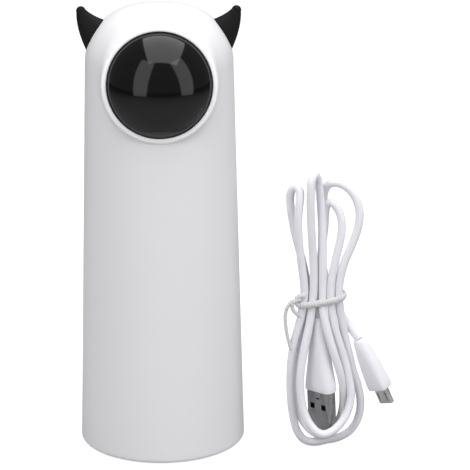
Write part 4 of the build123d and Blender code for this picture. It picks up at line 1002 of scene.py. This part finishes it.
def shell_tube(half_w, half_t, corner, length, wall, edge):
    """A folded metal shell, open at its mouth, whose mouth edges turn in a little."""
    drop = edge * EDGE_DROP
    rings = [rounded_ring(half_w, half_t, corner, z) for z in (0.0, -length + edge)]
    rings.append(rounded_ring(half_w - drop, half_t - drop, corner, -length))
    inner = (half_w - wall, half_t - wall, corner - wall * INNER_ROUND)
    rings += [rounded_ring(*inner, z) for z in (-length, -wall)]
    bm = skin(rings, cap_ends=True)
    smooth(bm, sharp_angle=35)
    return bm


def metal_shell(name, plug, sizes, windows, metal, replaced):
    """A plug's metal shell with the windows that its socket's springs catch in."""
    axes, _ = plug_axes(plug)
    tube = shell_tube(*[size * MM for size in sizes])
    tube.transform(axes)
    piece = finished(name, tube, metal, "tower", "plug_metal", replaced)
    beyond = sizes[1] * MM + MM
    changes = []
    for middle, half, far, near, corner, both in windows:
        low = ((middle - half) * MM, -beyond, far * MM)
        high = ((middle + half) * MM, beyond if both else 0, near * MM)
        hole = rounded_box(low, high, corner * MM, segments=3)
        hole.transform(axes)
        changes.append(("DIFFERENCE", cutter("window", hole)))
    carve(piece, changes, sharp_angle=35)
    return piece


# ---- Twist tie -----------------------------------------------------------------------------------
# The tie's lines, in the same measures as the cord's route.
TIE_BAND = (
    (63.4, -4.6, 63.7), (68.4, -4.7, 64.7), (72.2, -3.8, 65.6), (73.0, 0.0, 65.9),
    (71.6, 4.4, 65.4), (67.4, 6.2, 64.6), (59.4, 5.2, 63.4), (55.2, 3.8, 62.9),
    (54.0, 0.0, 62.6), (55.0, -3.7, 62.4), (58.4, -4.5, 62.8),
)
TIE_FOLD = (
    (56.8, -3.2, 66.2), (54.6, -3.8, 66.6), (53.2, -3.6, 65.0), (53.6, -3.2, 62.6),
    (55.4, -3.0, 61.4),
)
TIE_TWIST = (
    (55.2, -3.4, 64.6), (53.0, -4.2, 65.0), (51.4, -4.0, 63.0), (51.8, -3.6, 60.6),
    (53.6, -3.2, 58.6), (55.2, -2.8, 57.4),
)
TIE_TAIL = (
    (54.4, -2.6, 63.0), (52.4, -3.2, 64.8), (50.4, -3.6, 63.2), (49.0, -3.4, 59.8),
    (48.9, -3.2, 55.6), (49.6, -3.0, 50.6), (50.6, -2.8, 46.4), (51.4, -2.8, 43.4),
)
BAND_HALF_WIDE, BAND_HALF_THICK = 1.35 * MM, 0.5 * MM
END_HALF_WIDES = ((TIE_FOLD, 1.1 * MM), (TIE_TWIST, 0.8 * MM), (TIE_TAIL, 0.75 * MM))
END_HALF_THICK = 0.4 * MM
STRIP_RESOLUTION = 24
STRIP_TURNS = 16          # points round a strip
WIRE_WIDE = 0.4           # the wire's share of the width
WIRE_BULGE = 1.5          # how much thicker the strip is over it
RIB_PITCH = 1.05 * MM     # the fine ribs pressed into the tie's plastic
RIB_SWELL = 0.11
UPRIGHT = 0.3             # UPRIGHT = 0.3 # below this a line is so steep that its side is given


def ribbed_strip(route, half_wide, half_thick, closed):
    """A flat strip with rounded edges and a thicker middle over its wire, swept along a line."""
    curve = smooth_curve("strip_line", route, STRIP_RESOLUTION, closed)
    line = line_of(curve)
    bpy.data.curves.remove(curve)
    rings = []
    count = len(line)
    travel = 0.0
    for i, point in enumerate(line):
        ahead = line[(i + 1) % count] if closed or i + 1 < count else point
        behind = line[i - 1] if closed or i > 0 else point
        heading = (ahead - behind).normalized()
        side = heading.cross(Vector((0, 0, 1)))
        side = side.normalized() if side.length > UPRIGHT else Vector((0, -1, 0))
        up = side.cross(heading).normalized()
        swell = 1 + RIB_SWELL * sin(2 * pi * travel / RIB_PITCH)
        ring = []
        for turn in full_turn(STRIP_TURNS):
            bulge = half_thick * sin(turn) * (WIRE_BULGE if abs(cos(turn)) < WIRE_WIDE else 1)
            ring.append(point + (up * half_wide * cos(turn) + side * bulge) * swell)
        rings.append(ring)
        travel += (ahead - point).length
    if closed:
        rings.append(rings[0])
    bm = skin(rings, cap_ends=not closed)
    smooth(bm, sharp_angle=60)
    return bm


def twist_tie():
    """One band round the cord's waist, with a fold and its two twisted ends, short and long."""
    band = ribbed_strip(TIE_BAND, BAND_HALF_WIDE, BAND_HALF_THICK, closed=True)
    mesh = bpy.data.meshes.new("tie_parts")
    for route, half_wide in END_HALF_WIDES:
        part = ribbed_strip(route, half_wide, END_HALF_THICK, closed=False)
        part.to_mesh(mesh)
        part.free()
        band.from_mesh(mesh)
    bpy.data.meshes.remove(mesh)
    return finished("twist_tie", band, WHITE_TIE, "tower", "tie_white", "cable_tie")


# ---- Camera, floor and light ---------------------------------------------------------------------
CAMERA_LENS = 163.15
CAMERA_PLACE = (-0.35 * MM, -820.6 * MM, 333.35 * MM)
CAMERA_DOWN = 16.8        # degrees below level
CAMERA_ASIDE = -2.1       # degrees, to the right of straight ahead
FLOOR_RADIUS = 4.0
FLOOR_SHADES = ((0.37, 0.37, 0.37), (0.39, 0.39, 0.39))    # near the toy
FLOOR_FAR_SHADE = (0.16, 0.16, 0.16)
FLOOR_GLOW = 0.85         # near the toy; farther off it rises to 1
FLOOR_NEAR = 0.2          # from this distance on the floor's glow and shade change
FLOOR_GLOW_FULL = 1.0     # up to these distances
FLOOR_SHADE_FULL = 0.9
SKY_FILL = 0.16


def camera():
    lens = bpy.data.cameras.new("camera")
    lens.lens = CAMERA_LENS
    lens.sensor_width = 36
    lens.clip_start = 0.01
    lens.clip_end = 50
    holder = placed("camera", lens)
    holder.location = CAMERA_PLACE
    holder.rotation_euler = (radians(90 - CAMERA_DOWN), 0, radians(CAMERA_ASIDE))
    bpy.context.scene.camera = holder


def floor():
    """A pale floor that shows white and still takes the shadow."""
    finish = Finish("studio_floor", Roughness=0.9, Specular_IOR_Level=0.1)
    seen = finish.node("ShaderNodeLightPath", out="Is Camera Ray")
    through = finish.node("ShaderNodeLightPath", out="Is Transmission Ray")
    away = finish.node("ShaderNodeVectorMath", {"operation": "LENGTH"}, [finish.spot()], "Value")
    far = finish.ramp(away, FLOOR_NEAR, FLOOR_SHADE_FULL, 0.0, 1.0)
    pale = finish.mix(finish.noise(3, 2), *FLOOR_SHADES)
    finish.paint(Base_Color=finish.mix(far, pale, FLOOR_FAR_SHADE))
    glow = finish.ramp(away, FLOOR_NEAR, FLOOR_GLOW_FULL, FLOOR_GLOW, 1.0)
    values = {"Color": (1, 1, 1, 1), "Strength": (seen + through) * glow}
    lamp = finish.node("ShaderNodeEmission", {}, values)
    shader = Wire(finish, finish.shader.outputs["BSDF"])
    both = finish.node("ShaderNodeAddShader", {}, (shader, lamp))
    finish.feed(finish.tree.nodes["Material Output"].inputs["Surface"], both)
    bm = bmesh.new()
    bmesh.ops.create_circle(bm, cap_ends=True, segments=96, radius=FLOOR_RADIUS)
    piece = meshed("studio_floor", bm)
    dress(piece, finish.material)


def world():
    """White to the camera, and a soft grey fill to everything else."""
    sky = bpy.data.worlds.new("studio")
    bpy.context.scene.world = sky
    sky.use_nodes = True
    nodes = Nodes(sky.node_tree)
    seen = nodes.node("ShaderNodeLightPath", out="Is Camera Ray")
    level = nodes.node("ShaderNodeMix", {}, {"Factor": seen, "A": SKY_FILL, "B": 1.0}, "Result")
    background = nodes.tree.nodes["Background"]
    nodes.feed(background.inputs["Color"], (1, 1, 1, 1))
    nodes.feed(background.inputs["Strength"], level)


# Points that lights face.
MIDDLE = (0, -0.015, 0.15)
UPPER = (0, 0, 0.19)
LOWER = (0, 0, 0.09)
# Azimuth from the front to the right and height in degrees, distance, width, height, radiance,
# the point that is faced, and whether the toy's surfaces mirror the light.
SOFTBOXES = {
    "top_softbox": (0, 90, 1.0, 1.10, 1.43, 2.05, (0.15, 0.095, 0.15), True),
    "left_strip": (-38.5, 25, 0.8, 0.43, 1.04, 1.35, MIDDLE, True),
    "right_strip": (55.5, 23.5, 0.8, 0.42, 1.0, 1.35, MIDDLE, True),
    "left_fill": (-45, 38, 0.85, 1.0, 1.0, 1.0, UPPER, False),
    "right_fill": (50, 38, 0.85, 1.0, 1.0, 0.98, UPPER, False),
    "left_rear": (-130, 30, 0.9, 0.9, 1.0, 0.34, LOWER, False),
    "right_rear": (130, 30, 0.9, 0.9, 1.0, 0.48, LOWER, False),
}


def softbox(name, azimuth, lift, distance, wide, high, radiance, target, mirrored):
    """An area light that faces a point from a direction."""
    side, lift = radians(azimuth), radians(lift)
    towards = Vector((sin(side) * cos(lift), -cos(side) * cos(lift), sin(lift)))
    light = bpy.data.lights.new(name, "AREA")
    light.shape = "RECTANGLE"
    light.size = wide
    light.size_y = high
    light.energy = radiance * pi * wide * high
    holder = placed(name, light)
    holder.location = Vector(target) + towards * distance
    holder.rotation_euler = towards.to_track_quat("Z", "Y").to_euler()
    holder.visible_camera = False
    holder.visible_glossy = mirrored


# ---- Everything together -------------------------------------------------------------------------
camera()
floor()
world()
for light_name, measures in SOFTBOXES.items():
    softbox(light_name, *measures)
cord, cord_length = cord_piece()
usb_body = overmould("usb_overmould", USB_PLUG, USB_STATIONS, "usb_plug_body")
micro_body = overmould("micro_overmould", MICRO_PLUG, MICRO_STATIONS, "micro_plug_body")
usb_metal = metal_shell(
    "usb_metal_shell", USB_PLUG, USB_SHELL, USB_WINDOWS, PLUG_METAL, "usb_plug_shell",
)
# Its metal is painted brighter than the USB shell's, for the reflection on its face.
micro_metal = metal_shell(
    "micro_metal_shell", MICRO_PLUG, MICRO_SHELL, MICRO_WINDOWS, PAINTED_LIGHT_TIP_METAL, "micro_plug_shell",
)
tie = twist_tie()
route_point(*CORD_ROUTE[0])
housing()
bezel()
dome()
horn(-1)
horn(1)
dress_cad_nodes()

bpy.context.scene.view_settings.view_transform = "Standard"
